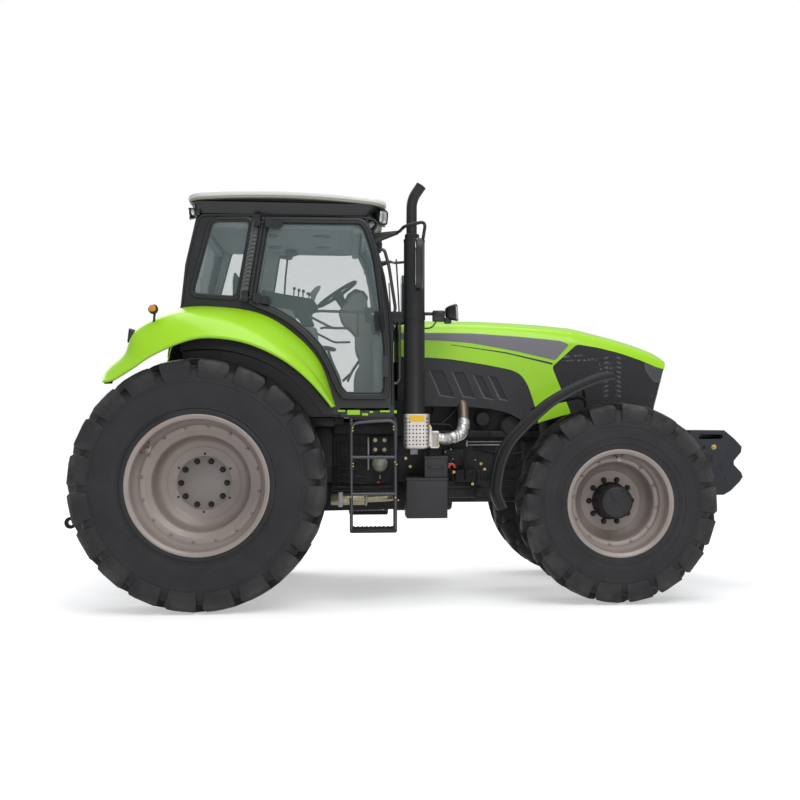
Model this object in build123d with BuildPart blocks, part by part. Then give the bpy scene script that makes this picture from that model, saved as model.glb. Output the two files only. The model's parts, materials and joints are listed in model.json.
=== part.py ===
from build123d import *
from math import atan2, cos, degrees, hypot, pi
import os

# Four-wheel-drive farm tractor with cab, front weights and three-point hitch.
# Lengths are millimetres. +X points forward, +Y to the tractor's left and +Z up. The
# origin is on the ground under the middle of the whole tractor's box. Stations are
# distances forward of the rear axle, on planes made by side(), across() and level().
os.makedirs("parts", exist_ok=True)

# ---------------------------------------------------------------- driving dimensions
wheelbase = 3083.0
rear_track, front_track = 1990.0, 1814.0  # between the rims' centre planes
rear_tyre_radius, rear_tyre_width = 912.0, 520.0
front_tyre_radius, front_tyre_width = 756.0, 460.0
link_end_reach = 1075.0  # the lower links' ends, behind the rear axle
weight_nose_reach = 4271.0  # the front weights' nose, ahead of the rear axle
kingpin_track = 1260.0  # between the steering axes
kingpin_y = kingpin_track / 2
kingpin_to_shoulder, kingpin_to_disc, kingpin_to_hub_face = 34.0, 113.0, 358.0
rear_lug_count, front_lug_count = 20, 18  # on each side of a tread

running_gap = 0.3  # round a shaft in its own bearing
seat_gap = 0.3  # between a curved or soft piece and what it rests on
panel_gap = 6.0  # between a moving panel and its neighbour

rear_axle_x = (link_end_reach - weight_nose_reach) / 2
rear_axle_z = rear_tyre_radius
front_axle_z = front_tyre_radius


def side(y):
    """A plane across the tractor at y, its x forward and its y up, facing right."""
    return Plane(origin=(rear_axle_x, y, 0), x_dir=(1, 0, 0), z_dir=(0, -1, 0))


def across(x):
    """A plane at a station x, its x to the tractor's left and its y up, facing forward."""
    return Plane(origin=(rear_axle_x + x, 0, 0), x_dir=(0, 1, 0), z_dir=(1, 0, 0))


def level(z):
    """A plane at a height z, its x forward from the rear axle and its y to the left."""
    return Plane(origin=(rear_axle_x, 0, z), x_dir=(1, 0, 0), z_dir=(0, 0, 1))


def save(part, label):
    """Label one finished piece and write it as its own STEP file."""
    part.label = label
    export_step(part, f"parts/{label}.step")


def save_pair(part, label):
    """Write a right-hand piece and its mirror image on the left."""
    save(mirror(part, about=Plane.XZ), f"{label}_left")
    save(part, f"{label}_right")


def slab(plane, points, thickness, both=False):
    """A flat plate: the closed outline extruded from its plane."""
    with BuildPart() as plate:
        with BuildSketch(plane):
            with BuildLine():
                Polyline(*points, close=True)
            make_face()
        extrude(amount=thickness, both=both)
    return plate.part


def block(x, y, z):
    """A plain box between two corners, x and z as stations and y across."""
    with BuildPart() as solid:
        with BuildSketch(level(z[0])):
            with Locations(((x[0] + x[1]) / 2, (y[0] + y[1]) / 2)):
                Rectangle(x[1] - x[0], y[1] - y[0])
        extrude(amount=z[1] - z[0])
    return solid.part


def joined(base, *tools, mode=Mode.SUBTRACT):
    """A new piece: the base after each tool is added to it in one mode."""
    with BuildPart() as piece:
        add(base)
        for tool in tools:
            add(tool, mode=mode)
    return piece.part


tube_sides = 8  # bent tubes are eight-sided, to keep their facets few


def rod(start, end, radius):
    """A round bar between two points, given as (station x, y, height)."""
    a = Vector(start[0] + rear_axle_x, start[1], start[2])
    b = Vector(end[0] + rear_axle_x, end[1], end[2])
    with BuildPart() as bar:
        with BuildSketch(Plane(origin=a, z_dir=b - a)):
            Circle(radius)
        extrude(amount=(b - a).length)
    return bar.part


def bent_tube(points, bend_radius, radius):
    """A round tube along straight runs joined by arcs, points as (station x, y, height)."""
    route = [(x + rear_axle_x, y, z) for x, y, z in points]
    with BuildPart() as tube:
        with BuildLine() as path:
            FilletPolyline(*route, radius=bend_radius)
        with BuildSketch(Plane(origin=path.line @ 0, z_dir=path.line % 0)):
            RegularPolygon(radius, tube_sides)
        sweep()
    return tube.part


# ---------------------------------------------------------------- wheels
# Wheel frames: z outboard along the axle, x forward, y up, origin on the rim's centre.
rear_hub_plane = Plane(
    origin=(rear_axle_x, -rear_track / 2, rear_axle_z), x_dir=(1, 0, 0), z_dir=(0, -1, 0)
)
front_hub_plane = Plane(
    origin=(rear_axle_x + wheelbase, -front_track / 2, front_axle_z),
    x_dir=(1, 0, 0),
    z_dir=(0, -1, 0),
)

# One row per tyre size: the rim's flange and seat radii, half its width, and the number
# of lugs on each side of the tread.
WHEELS = {
    # name: (tyre radius, tyre width, flange r, seat r, rim half width, lugs a side)
    "rear": (rear_tyre_radius, rear_tyre_width, 508.0, 483.0, 241.0, rear_lug_count),
    "front": (front_tyre_radius, front_tyre_width, 406.5, 381.0, 202.0, front_lug_count),
}
flange_thickness, rim_wall = 14.0, 9.0
lug_height = 50.0  # tread to lug top
lug_bar_width = 62.0
lug_sweep = 0.62  # how far the bar runs round the tyre for each unit across it
lug_flare = 64.0  # the lug's extra length at its shoulder end
shoulder_width, shoulder_drop = 66.0, 84.0  # from the tread's flat to the sidewall
lug_shoulder, lug_foot_drop, lug_crown_drop = 34.0, 150.0, 7.0
lug_edge_drop = 14.0  # the lug's top, lower at the shoulder than the tyre's radius
sidewall_depth, sidewall_lip = 12.0, 60.0  # from the lugs' ends and the shoulder's foot
bead_rise = 8.0  # the sidewall's foot above the rim's flange
bore_sides = 16


def lug_solid(radius, width):
    """One half-width lug at the top of the tyre: a swept bar that flares at the shoulder."""
    half = width / 2
    reach = lug_sweep * half / 2
    bar = lug_bar_width / 2
    with BuildPart() as lug:
        with BuildSketch(Plane(origin=(0, radius, 0), x_dir=(0, 0, 1), z_dir=(0, 1, 0))):
            with BuildLine():
                Polyline(
                    (4, -reach - bar), (half, reach - bar), (half, reach + bar + lug_flare),
                    (4, bar - reach), close=True,
                )
            make_face()
        extrude(amount=-lug_foot_drop - lug_height)
        with BuildSketch(Plane(origin=(0, 0, 0), x_dir=(0, 0, 1), z_dir=(-1, 0, 0))):
            with BuildLine():
                Polyline(
                    (0, radius - lug_foot_drop), (0, radius - lug_crown_drop),
                    (half - lug_shoulder, radius - lug_edge_drop),
                    (half, radius - lug_foot_drop), close=True,
                )
            make_face()
        extrude(amount=width, both=True, mode=Mode.INTERSECT)
    return lug.part


def polygon_frustum(start, base, top, height, sides):
    """A flat-sided cone's stump about the z axis, from corner radius base up to top."""
    slope = degrees(atan2((base - top) * cos(pi / sides), height))
    with BuildPart() as stump:
        with BuildSketch(Plane.XY.offset(start)):
            RegularPolygon(base, sides)
        extrude(amount=height, taper=slope)
    return stump.part


def build_tyre(name, hub):
    """A bar-lug tyre: a many-sided carcass with the lugs of both halves fused to it."""
    radius, width, flange, seat, rim_half, lugs = WHEELS[name]
    tread = radius - lug_height
    half, brow = width / 2, tread - shoulder_drop
    bead = rim_half - flange_thickness - seat_gap
    flat, lip = half - shoulder_width, half - sidewall_depth
    # The shoulder, the sidewall's hollow down to the bead, and a lug: each on both sides.
    shoulder = polygon_frustum(flat, tread, brow, lip - flat, lugs)
    hollow = polygon_frustum(-lip, brow - sidewall_lip, flange + bead_rise, lip - bead, lugs)
    lug = lug_solid(radius, width)
    other_shoulder, other_hollow, other_lug = (
        mirror(form, about=Plane.XY) for form in (shoulder, hollow, lug)
    )
    with BuildPart(hub) as tyre:
        with BuildSketch(hub.offset(-flat)):
            RegularPolygon(tread, lugs)
        extrude(amount=2 * flat)
        add(shoulder)
        add(other_shoulder)
        with PolarLocations(0, lugs):
            add(lug)
        with PolarLocations(0, lugs, start_angle=180 / lugs):
            add(other_lug)
        add(hollow, mode=Mode.SUBTRACT)
        add(other_hollow, mode=Mode.SUBTRACT)
        with BuildSketch(hub.offset(-half)):
            RegularPolygon(seat + seat_gap, bore_sides, major_radius=False)
        extrude(amount=width, mode=Mode.SUBTRACT)
    return tyre.part


def turned(hub, profile, bores=()):
    """A piece turned about the wheel's axle from (outboard, radius) points."""
    axis = Axis(hub.origin, hub.z_dir)
    cut = Plane(origin=hub.origin, x_dir=hub.z_dir, z_dir=-hub.x_dir)
    with BuildPart() as piece:
        with BuildSketch(cut):
            with BuildLine():
                Polyline(*profile, close=True)
            make_face()
        revolve(axis=axis)
        for start, radius, ring, count, depth in bores:
            with BuildSketch(hub.offset(start)):
                with PolarLocations(ring, count):
                    Circle(radius)
            extrude(amount=-depth, mode=Mode.SUBTRACT)
    return piece.part


rear_disc_face = 786.0 - rear_track / 2  # the disc's outer face, from the rim's centre
front_disc_face = kingpin_y + kingpin_to_disc - front_track / 2
front_hub_face = kingpin_y + kingpin_to_hub_face - front_track / 2
disc_thickness = 16.0
spindle_radius = 62.0
rear_axle_end = 742.0  # the rear axle tubes' flanges, from the middle of the tractor
front_spindle_shoulder = kingpin_y + kingpin_to_shoulder
hub_cover = 60.0  # the front hub's end wall, outside its spindle


def build_rim(name, hub, disc, dish, centre_radius):
    """Rim barrel and dished disc in one: outer flange, seats, drop well and disc."""
    radius, width, flange, seat, half, lugs = WHEELS[name]
    bead = half - flange_thickness
    inner = seat - rim_wall
    barrel = [
        (half, flange), (bead, flange), (bead, seat), (70, seat),
        (40, seat - 34), (-40, seat - 34), (-70, seat), (-bead, seat),
        (-bead, flange), (-half, flange), (-half, inner), (-74, inner),
        (-44, inner - 34),
    ]
    back = [(a - disc_thickness, r + disc_thickness / 2) for r, a in dish]
    face = [(a, r) for r, a in reversed(dish)]
    profile = barrel + back + [(disc - disc_thickness, centre_radius)]
    profile += [(disc, centre_radius)] + face + [(44, inner - 34), (74, inner), (half, inner)]
    return turned(hub, profile)


rear_dish = [(seat_r, a) for seat_r, a in ((425.0, 6.0), (352.0, -4.0), (343.0, -150.0))]
rear_dish += [(268.0, rear_disc_face + 4)]
front_dish = [(327.0, 6.0), (300.0, -10.0), (292.0, -110.0), (236.0, front_disc_face + 4)]

rear_tyre = build_tyre("rear", rear_hub_plane)
save_pair(rear_tyre, "rear_tyre")
front_tyre = build_tyre("front", front_hub_plane)
save_pair(front_tyre, "front_tyre")

rear_rim = build_rim("rear", rear_hub_plane, rear_disc_face, rear_dish, 40.0)
hub_flange_radius = 196.0
rear_hub_thickness = 18.0
# The rear axle shaft's flange and end, bolted behind the disc; its shaft runs in the tube.
rear_hub_back = rear_disc_face - disc_thickness
rear_shaft_end = rear_axle_end - rear_track / 2
rear_hub = turned(
    rear_hub_plane,
    [
        (rear_hub_back, 0), (rear_hub_back, hub_flange_radius),
        (rear_hub_back - rear_hub_thickness, hub_flange_radius),
        (rear_shaft_end + 8, 110), (rear_shaft_end + 8, spindle_radius),
        (rear_shaft_end - 150, spindle_radius), (rear_shaft_end - 150, 0),
    ],
)
front_rim = build_rim("front", front_hub_plane, front_disc_face, front_dish, 136.0)
front_spindle = 42.0
front_hub_back = front_disc_face - disc_thickness
# The planetary hub: a flange behind the disc and a drum that stands out through it.
front_hub = turned(
    front_hub_plane,
    [
        (front_hub_face, 0), (front_hub_face, 118), (front_hub_face - 14, 132),
        (front_hub_back, 134), (front_hub_back, hub_flange_radius),
        (front_hub_back - 20, hub_flange_radius), (front_hub_back - 34, 120),
        (front_hub_back - 34, front_spindle + running_gap),
        (front_hub_face - hub_cover, front_spindle + running_gap),
        (front_hub_face - hub_cover, 0),
    ],
)
save_pair(rear_rim, "rear_rim")
save_pair(rear_hub, "rear_hub")
save_pair(front_rim, "front_rim")
save_pair(front_hub, "front_hub")

# ---------------------------------------------------------------- hitch dimensions
lift_pivot, lift_pin = (-190.0, 1150.0), (-560.0, 1180.0)  # (station, height)
link_pivot, link_rod_pin = (-180.0, 600.0), (-700.0, 600.0)
link_eye_radius = 45.0
link_end = (-(link_end_reach - link_eye_radius), 600.0)
link_inner, link_thickness, link_end_y = 352.0, 34.0, 466.0
link_pin_radius, link_end_bore = 20.0, 18.7
lift_shaft_radius, lift_arm_inner, lift_arm_thickness = 36.0, 300.0, 38.0
lift_pin_radius, rod_float = 14.0, 18.0
top_link_pivot, top_pin_radius, top_link_length = (-385.0, 1010.0), 12.5, 620.0
top_link_end_bore = 16.0
pto_z, pto_radius, pto_reach = 800.0, 17.5, 425.0

# ---------------------------------------------------------------- driveline castings
trumpet_radius, trumpet_root_radius = 118.0, 205.0
axle_case_half = 290.0
case_bottom, case_top = 650.0, 1235.0
floor_top, floor_thickness = 1450.0, 50.0  # the cab's floor
cab_mount_y, cab_mount_radius = 180.0, 48.0
axle_bracket_gap, axle_bracket = 140.0, 60.0  # from the axle's middle, and its thickness
engine_rear, engine_half = 1700.0, 238.0
engine_front = wheelbase - axle_bracket_gap - axle_bracket - 283.0
engine_bottom, engine_top = 720.0, 1560.0

with BuildPart() as transaxle:
    with BuildSketch(side(0)):
        with BuildLine():
            Polyline(
                (-330, case_bottom + 60), (-250, case_bottom - 20), (330, case_bottom - 20),
                (420, case_bottom), (engine_rear, case_bottom + 20), (engine_rear, 1240),
                (engine_rear - 140, 1290), (engine_rear - 220, 1180), (480, 1130),
                (330, case_top),
                (-240, case_top), (-330, 1130), close=True,
            )
        make_face()
    extrude(amount=axle_case_half - 60, both=True)
    with BuildSketch(side(0)):
        with Locations((0, 930)):
            Rectangle(520, 560)
    extrude(amount=axle_case_half, both=True)
    for way in (1, -1):
        tube_plane = Plane(
            origin=(rear_axle_x, 0, rear_axle_z), x_dir=(1, 0, 0), z_dir=(0, way, 0)
        )
        for start, end, r1, r2 in (
            (axle_case_half - 5, 520, trumpet_root_radius, trumpet_radius + 12),
            (520, rear_axle_end - 26, trumpet_radius + 12, trumpet_radius),
            (rear_axle_end - 26, rear_axle_end, 150, 150),
        ):
            with BuildSketch(tube_plane.offset(start)):
                Circle(r1)
            with BuildSketch(tube_plane.offset(end)):
                Circle(r2)
            loft(ruled=True)
        with BuildSketch(tube_plane.offset(rear_axle_end)):
            Circle(spindle_radius + running_gap)
        extrude(amount=-156, mode=Mode.SUBTRACT)
    # The four mounts under the cab's floor.
    for station in (450, 1250):
        for y in (-cab_mount_y, cab_mount_y):
            add(rod((station, y, case_top - 130),
                    (station, y, floor_top - floor_thickness - seat_gap), cab_mount_radius))
    # Lower link brackets and their pins, the top link's ears and the power take-off.
    for way in (1, -1):
        add(block((link_pivot[0] - 60, link_pivot[0] + 60), sorted((way * 200, way * 288)),
                  (link_pivot[1] - 55, case_bottom + 60)))
        add(rod((link_pivot[0], way * 280, link_pivot[1]),
                (link_pivot[0], way * (link_inner + link_thickness + 12), link_pivot[1]),
                link_pin_radius))
        add(block((top_link_pivot[0] - 45, -325), sorted((way * 28, way * 52)),
                  (top_link_pivot[1] - 45, top_link_pivot[1] + 45)))
    add(rod((top_link_pivot[0], -40, top_link_pivot[1]),
            (top_link_pivot[0], 40, top_link_pivot[1]), top_pin_radius))
    add(rod((-325, 0, pto_z), (-pto_reach, 0, pto_z), pto_radius))
    add(rod((-325, 0, pto_z), (-336, 0, pto_z), 70))
    add(rod((lift_pivot[0], -400, lift_pivot[1]), (lift_pivot[0], 400, lift_pivot[1]),
            lift_shaft_radius + running_gap), mode=Mode.SUBTRACT)
save(transaxle.part, "transaxle")

save(
    block((engine_rear, engine_front), (-engine_half, engine_half), (engine_bottom, engine_top)),
    "engine_block",
)

# ---------------------------------------------------------------- front frame and axle
rail_inner, rail_outer = 195.0, engine_half
rail_bottom, rail_top = 930.0, 1180.0
frame_front = 3640.0
pivot_radius = 45.0

with BuildPart() as front_frame:
    with BuildSketch(level(rail_bottom)):
        for way in (1, -1):
            with Locations(((engine_front + frame_front) / 2, way * (rail_inner + rail_outer) / 2)):
                Rectangle(frame_front - engine_front, rail_outer - rail_inner)
    extrude(amount=rail_top - rail_bottom)
    # Cross plates: behind the cooling pack, ahead of it, and the carrier plate at the nose.
    for start, end in ((2720, 2760), (3480, 3520), (frame_front - 40, frame_front)):
        with BuildSketch(level(rail_bottom)):
            with Locations(((start + end) / 2, 0)):
                Rectangle(end - start, 2 * rail_outer)
        extrude(amount=rail_top - rail_bottom)
    # The axle's pivot brackets, one each side of the beam, hung under the rails.
    for station in (wheelbase - axle_bracket_gap - axle_bracket, wheelbase + axle_bracket_gap):
        with BuildSketch(across(station)):
            with BuildLine():
                Polyline(
                    (-rail_outer, rail_bottom), (-110, front_axle_z - 90),
                    (110, front_axle_z - 90), (rail_outer, rail_bottom), close=True,
                )
            make_face()
            with Locations((0, front_axle_z)):
                Circle(pivot_radius + running_gap, mode=Mode.SUBTRACT)
        extrude(amount=axle_bracket)
save(front_frame.part, "front_frame")

beam_end = kingpin_y - 70
with BuildPart() as front_axle:
    sections = [
        # (distance from the middle, half depth, half height)
        (0, axle_bracket_gap, 125), (150, axle_bracket_gap, 120), (230, 90, 80),
        (beam_end, 70, 70),
    ]
    for (near, near_d, near_h), (far, far_d, far_h) in zip(sections, sections[1:]):
        for way in (1, -1):
            for y, d, h in ((near, near_d, near_h), (far, far_d, far_h)):
                with BuildSketch(side(way * y)):
                    with Locations((wheelbase, front_axle_z)):
                        Rectangle(2 * d, 2 * h)
            loft(ruled=True)
    # Pivot pin through both brackets, and a yoke at each end round the kingpin.
    pin_end = axle_bracket_gap + axle_bracket + 5
    with BuildSketch(across(wheelbase - pin_end)):
        with Locations((0, front_axle_z)):
            Circle(pivot_radius)
    extrude(amount=2 * pin_end)
    for way in (1, -1):
        for low in (-140, 90):
            with BuildSketch(level(front_axle_z + low)):
                with Locations((wheelbase, way * kingpin_y)):
                    Circle(62)
                with Locations((wheelbase, way * (kingpin_y - 50))):
                    Rectangle(124, 100)
            extrude(amount=50)
        with BuildSketch(level(front_axle_z - 140)):
            with Locations((wheelbase, way * (beam_end - 25))):
                Rectangle(124, 50)
        extrude(amount=280)
        with BuildSketch(level(front_axle_z - 141)):
            with Locations((wheelbase, way * kingpin_y)):
                Circle(28 + running_gap)
        extrude(amount=282, mode=Mode.SUBTRACT)
save(front_axle.part, "front_axle")

# ---------------------------------------------------------------- steering knuckles
tie_rod_back, tie_rod_z = 285.0, front_axle_z + 20
tie_rod_y = kingpin_y
knuckle_half = 90.0 - 0.5
stay_y = -(front_spindle_shoulder - 18)
knuckle_top = front_axle_z + 80
guard_inner, guard_outer = front_track / 2 - 97, front_track / 2 + 223

with BuildPart() as knuckle:
    with BuildSketch(level(front_axle_z - knuckle_half)):
        with Locations((wheelbase, -kingpin_y)):
            Circle(58)
        with Locations((wheelbase, -kingpin_y - 8)):
            Rectangle(116, 40)
    extrude(amount=2 * knuckle_half)
    with BuildSketch(level(front_axle_z - 140)):
        with Locations((wheelbase, -kingpin_y)):
            Circle(28)
    extrude(amount=280)
    with BuildSketch(side(-kingpin_y - 20)):
        with Locations((wheelbase, front_axle_z)):
            Circle(80)
    extrude(amount=front_spindle_shoulder - kingpin_y - 20)
    with BuildSketch(side(-kingpin_y - 20)):
        with Locations((wheelbase, front_axle_z)):
            Circle(front_spindle)
    extrude(amount=kingpin_to_hub_face - hub_cover - 2 - 20)
    # Steering arm back to the tie rod's pin, and the pad for the mudguard's stay.
    with BuildSketch(level(tie_rod_z - 14)):
        with BuildLine():
            Polyline(
                (wheelbase - 30, -kingpin_y - 34), (wheelbase - 30, -kingpin_y + 8),
                (wheelbase - tie_rod_back - 22, -tie_rod_y + 20),
                (wheelbase - tie_rod_back - 22, -tie_rod_y - 20), close=True,
            )
        make_face()
    extrude(amount=28)
    with BuildSketch(level(tie_rod_z)):
        with Locations((wheelbase - tie_rod_back, -tie_rod_y)):
            Circle(11)
    extrude(amount=60)
    add(block((wheelbase - 130, wheelbase - 40), (stay_y - 16, stay_y + 14),
              (knuckle_top - 46, knuckle_top)))
save_pair(knuckle.part, "knuckle")

with BuildPart() as tie_rod:
    with BuildSketch(side(0)):
        with Locations((wheelbase - tie_rod_back, tie_rod_z + 36)):
            Circle(17)
    extrude(amount=tie_rod_y, both=True)
    for way in (1, -1):
        with BuildSketch(level(tie_rod_z + 16)):
            with Locations((wheelbase - tie_rod_back, way * tie_rod_y)):
                Circle(26)
        extrude(amount=40)
        with BuildSketch(level(tie_rod_z)):
            with Locations((wheelbase - tie_rod_back, way * tie_rod_y)):
                Circle(11 + running_gap)
        extrude(amount=70, mode=Mode.SUBTRACT)
save(tie_rod.part, "tie_rod")

# Mudguard: a curved sheet over the wheel's back and top, on a stay from the knuckle.
with BuildPart() as mudguard:
    with BuildSketch(Plane(origin=(rear_axle_x + wheelbase, -guard_inner, 0), x_dir=(1, 0, 0),
                           z_dir=(0, -1, 0))):
        with BuildLine():
            top = ThreePointArc((-58, 1727), (-522, 1540), (-858, 1269))
            back = ThreePointArc(top @ 1, (-960, 960), (-931, 712))
            Line(back @ 1, (-923, 713))
            low = ThreePointArc((-923, 713), (-952, 958), (-851, 1265))
            ThreePointArc(low @ 1, (-516, 1533), (-56, 1718))
            Line((-56, 1718), top @ 0)
        make_face()
    extrude(amount=guard_outer - guard_inner)
    add(bent_tube([(wheelbase - 108, stay_y, knuckle_top), (wheelbase - 108, stay_y, 1000),
                   (wheelbase - 193, stay_y, 1590), (wheelbase - 233, -guard_inner + 40, 1655),
                   (wheelbase - 293, -guard_outer + 50, 1664)], 50, 16))
save_pair(mudguard.part, "front_mudguard")

# ---------------------------------------------------------------- cab
sill_z, cab_top = 1470.0, 2915.0
cab_half_low, cab_half_high = 830.0, 772.0  # at the sill and at the cab's top
tub_clearance = 45.0  # between the cab's base and each rear tyre
tub_half = rear_track / 2 - rear_tyre_width / 2 - tub_clearance
wall = 42.0
lean = (cab_half_low - cab_half_high) / (cab_top - sill_z)


def cab_side(outward=0.0):
    """The right wall's outer plane, leaning in: x forward, y up from the sill."""
    out = Vector(0, -1, lean).normalized()
    origin = Vector(rear_axle_x, -cab_half_low, sill_z) + out * outward
    return Plane(origin=origin, x_dir=(1, 0, 0), z_dir=out)


def up(points):
    """Points given as (station, height) on the leaning wall's plane."""
    stretch = hypot(1, lean)
    return [(x, (z - sill_z) * stretch) for x, z in points]


# The cab's lower edge over the wheelhouse, from its front foot to its rear corner.
wheelhouse_top = [
    (1000, sill_z), (935, 1640), (887, 1757), (816, 1863), (723, 1969), (605, 2068),
    (488, 2139), (371, 2184), (197, 2209), (24, 2218), (-172, 2215),
]
cab_rear = [(-140, 2532), (-60, 2895)]
cab_front = [(1190, cab_top), (1265, 2755), (1338, 2470), (1382, 2200), (1402, 1842),
             (1408, sill_z)]
cab_inner = [(-125, 2190), (-95, 2532), (-20, 2865), (1155, 2870), (1215, 2755),
             (1288, 2470), (1332, 2200), (1352, 1842), (1358, sill_z - 10), (-125, sill_z - 10)]
# Door outline, from the top of its hinge edge clockwise.
door_outline = [
    (418, 2892), (1165, 2898), (1222, 2838), (1272, 2690), (1300, 2553), (1336, 2270),
    (1372, 1931), (1372, 1600), (1345, 1532), (1018, 1532), (968, 1600), (905, 1760),
    (835, 1885), (740, 1996), (622, 2096), (500, 2166), (376, 2214), (318, 2250),
]
door_pane = [
    (462, 2858), (1150, 2862), (1186, 2822), (1236, 2680), (1264, 2550), (1300, 2268),
    (1336, 1930), (1336, 1618), (1322, 1570), (1040, 1570), (1000, 1622), (938, 1778),
    (866, 1908), (766, 2024), (642, 2128), (514, 2202), (400, 2250), (368, 2276),
]
door_opening = [
    (478, 2838), (1140, 2842), (1168, 2812), (1216, 2676), (1244, 2546), (1280, 2264),
    (1316, 1928), (1316, 1630), (1306, 1592), (1054, 1592), (1018, 1634), (956, 1790),
    (882, 1924), (780, 2042), (654, 2148), (522, 2224), (410, 2272), (392, 2290),
]
quarter_pane = [(52, 2872), (-97, 2308), (245, 2286), (348, 2880)]
# Hinge pins: (station, height) of each hinge on the door's rear edge.
hinges = [(430, 2862), (342, 2298)]
hinge_stand = 50.0  # the pins' distance outside the cab's side
hinge_radius, hinge_pin_radius = 15.0, 7.0
hinge_knuckle = 26.0


def hinge_plane(end, along=0.0):
    """A plane square to the door's hinge line, through one hinge."""
    pins = [cab_side(hinge_stand).from_local_coords(Vector(x, z, 0)) for x, z in up(hinges)]
    line = (pins[0] - pins[1]).normalized()
    return Plane(origin=pins[end] + line * along, z_dir=line)


hinge_brackets = []
for end, (x, z) in enumerate(hinges):
    with BuildPart() as bracket:
        for start, finish, low, high in ((x - 46, x - 24, 0, hinge_stand + 10),
                                         (x - 46, x + 6, hinge_stand - 10, hinge_stand + 10)):
            add(slab(cab_side(low), up([(start, z - 24), (finish, z - 24), (finish, z - 6),
                                        (start, z - 6)]), high - low))
        with BuildSketch(hinge_plane(end, -20)):
            Circle(hinge_radius)
        extrude(amount=14)
        with BuildSketch(hinge_plane(end, -20)):
            Circle(hinge_pin_radius)
        extrude(amount=20 + hinge_knuckle)
    hinge_brackets.append(bracket.part)

with BuildPart() as cab_frame:
    with BuildSketch(side(0)):
        with BuildLine():
            Polyline(*(wheelhouse_top + cab_rear + cab_front), close=True)
        make_face()
    extrude(amount=cab_half_low + 20, both=True)
    with BuildSketch(across(-300)):
        with BuildLine():
            Polyline((-cab_half_low, sill_z), (cab_half_low, sill_z),
                     (cab_half_high, cab_top), (-cab_half_high, cab_top), close=True)
        make_face()
    extrude(amount=1900, mode=Mode.INTERSECT)
    add(joined(slab(side(0), cab_inner, cab_half_low, both=True),
               slab(across(-300), [
                   (-cab_half_low + wall, sill_z - 20), (cab_half_low - wall, sill_z - 20),
                   (cab_half_high - wall, cab_top), (-cab_half_high + wall, cab_top),
               ], 1900), mode=Mode.INTERSECT), mode=Mode.SUBTRACT)
    for outline in (door_opening, quarter_pane):
        hole = slab(cab_side(20), up(outline), -(wall + 60))
        add(hole, mode=Mode.SUBTRACT)
        add(mirror(hole, about=Plane.XZ, mode=Mode.PRIVATE), mode=Mode.SUBTRACT)
    # Windscreen and rear window openings.
    with BuildSketch(across(1600)):
        with BuildLine():
            Polyline((-740, 1560), (740, 1560), (700, 2830), (-700, 2830), close=True)
        make_face()
    extrude(amount=-560, mode=Mode.SUBTRACT)
    with BuildSketch(across(-300)):
        with BuildLine():
            Polyline((-700, 2290), (700, 2290), (680, 2820), (-680, 2820), close=True)
        make_face()
    extrude(amount=400, mode=Mode.SUBTRACT)
    for bracket in hinge_brackets:
        add(bracket)
        add(mirror(bracket, about=Plane.XZ, mode=Mode.PRIVATE))
save(cab_frame.part, "cab_frame")

# The cab's base: floor, wheelhouses over the rear tyres, seat deck and rear wall.
arch_radius = 1000.0
deck_z = 1640.0
with BuildPart() as cab_floor:
    add(block((370, 1408), (-tub_half + 20, tub_half - 20), (floor_top - floor_thickness, floor_top)))
    add(block((1000, 1408), (-cab_half_low, cab_half_low), (floor_top - floor_thickness, floor_top)))
save(cab_floor.part, "cab_floor")
with BuildPart() as cab_base:
    for way in (1, -1):
        with BuildSketch(side(way * (tub_half - 20))):
            with BuildLine():
                Polyline(*wheelhouse_top, (-172, deck_z), (100, 1420), (1000, 1420), close=True)
            make_face()
        extrude(amount=-way * (cab_half_low - tub_half + 20))
        with BuildSketch(side(way * tub_half)):
            with Locations((20, 905)):
                Circle(arch_radius)
        extrude(amount=-way * 200, mode=Mode.SUBTRACT)
    with BuildSketch(side(0)):
        with BuildLine():
            Polyline(
                (-172, 2215), (-172, deck_z - 40), (330, deck_z - 40), (330, 1420), (370, 1420),
                (370, deck_z), (-130, deck_z), (-130, 2215), close=True,
            )
        make_face()
    extrude(amount=tub_half, both=True)
    with BuildSketch(side(0)):
        with BuildLine():
            Polyline((1368, floor_top), (1408, floor_top), (1408, sill_z), (1368, sill_z), close=True)
        make_face()
    extrude(amount=cab_half_low - 1, both=True)
save(cab_base.part, "cab_base")

# Roof: a pale cap over a dark lower tray, both wider than the cab.
roof_half = 845.0
cap_bottom = 3000.0
with BuildPart() as roof_cap:
    with BuildSketch(level(cap_bottom)):
        with Locations((612, 0)):
            RectangleRounded(1478, 2 * roof_half, 120)
    with BuildSketch(level(3070)):
        with Locations((612, 0)):
            RectangleRounded(1440, 2 * roof_half - 60, 110)
    with BuildSketch(level(3125)):
        with Locations((640, 0)):
            RectangleRounded(1040, 2 * roof_half - 520, 90)
    loft(ruled=True)
save(roof_cap.part, "roof_cap")

with BuildPart() as roof_tray:
    with BuildSketch(level(cab_top)):
        with Locations((585, 0)):
            RectangleRounded(1290, 2 * cab_half_high + 30, 70)
    with BuildSketch(level(cap_bottom)):
        with Locations((612, 0)):
            RectangleRounded(1440, 2 * roof_half - 30, 110)
    loft(ruled=True)
save(roof_tray.part, "roof_tray")

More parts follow.
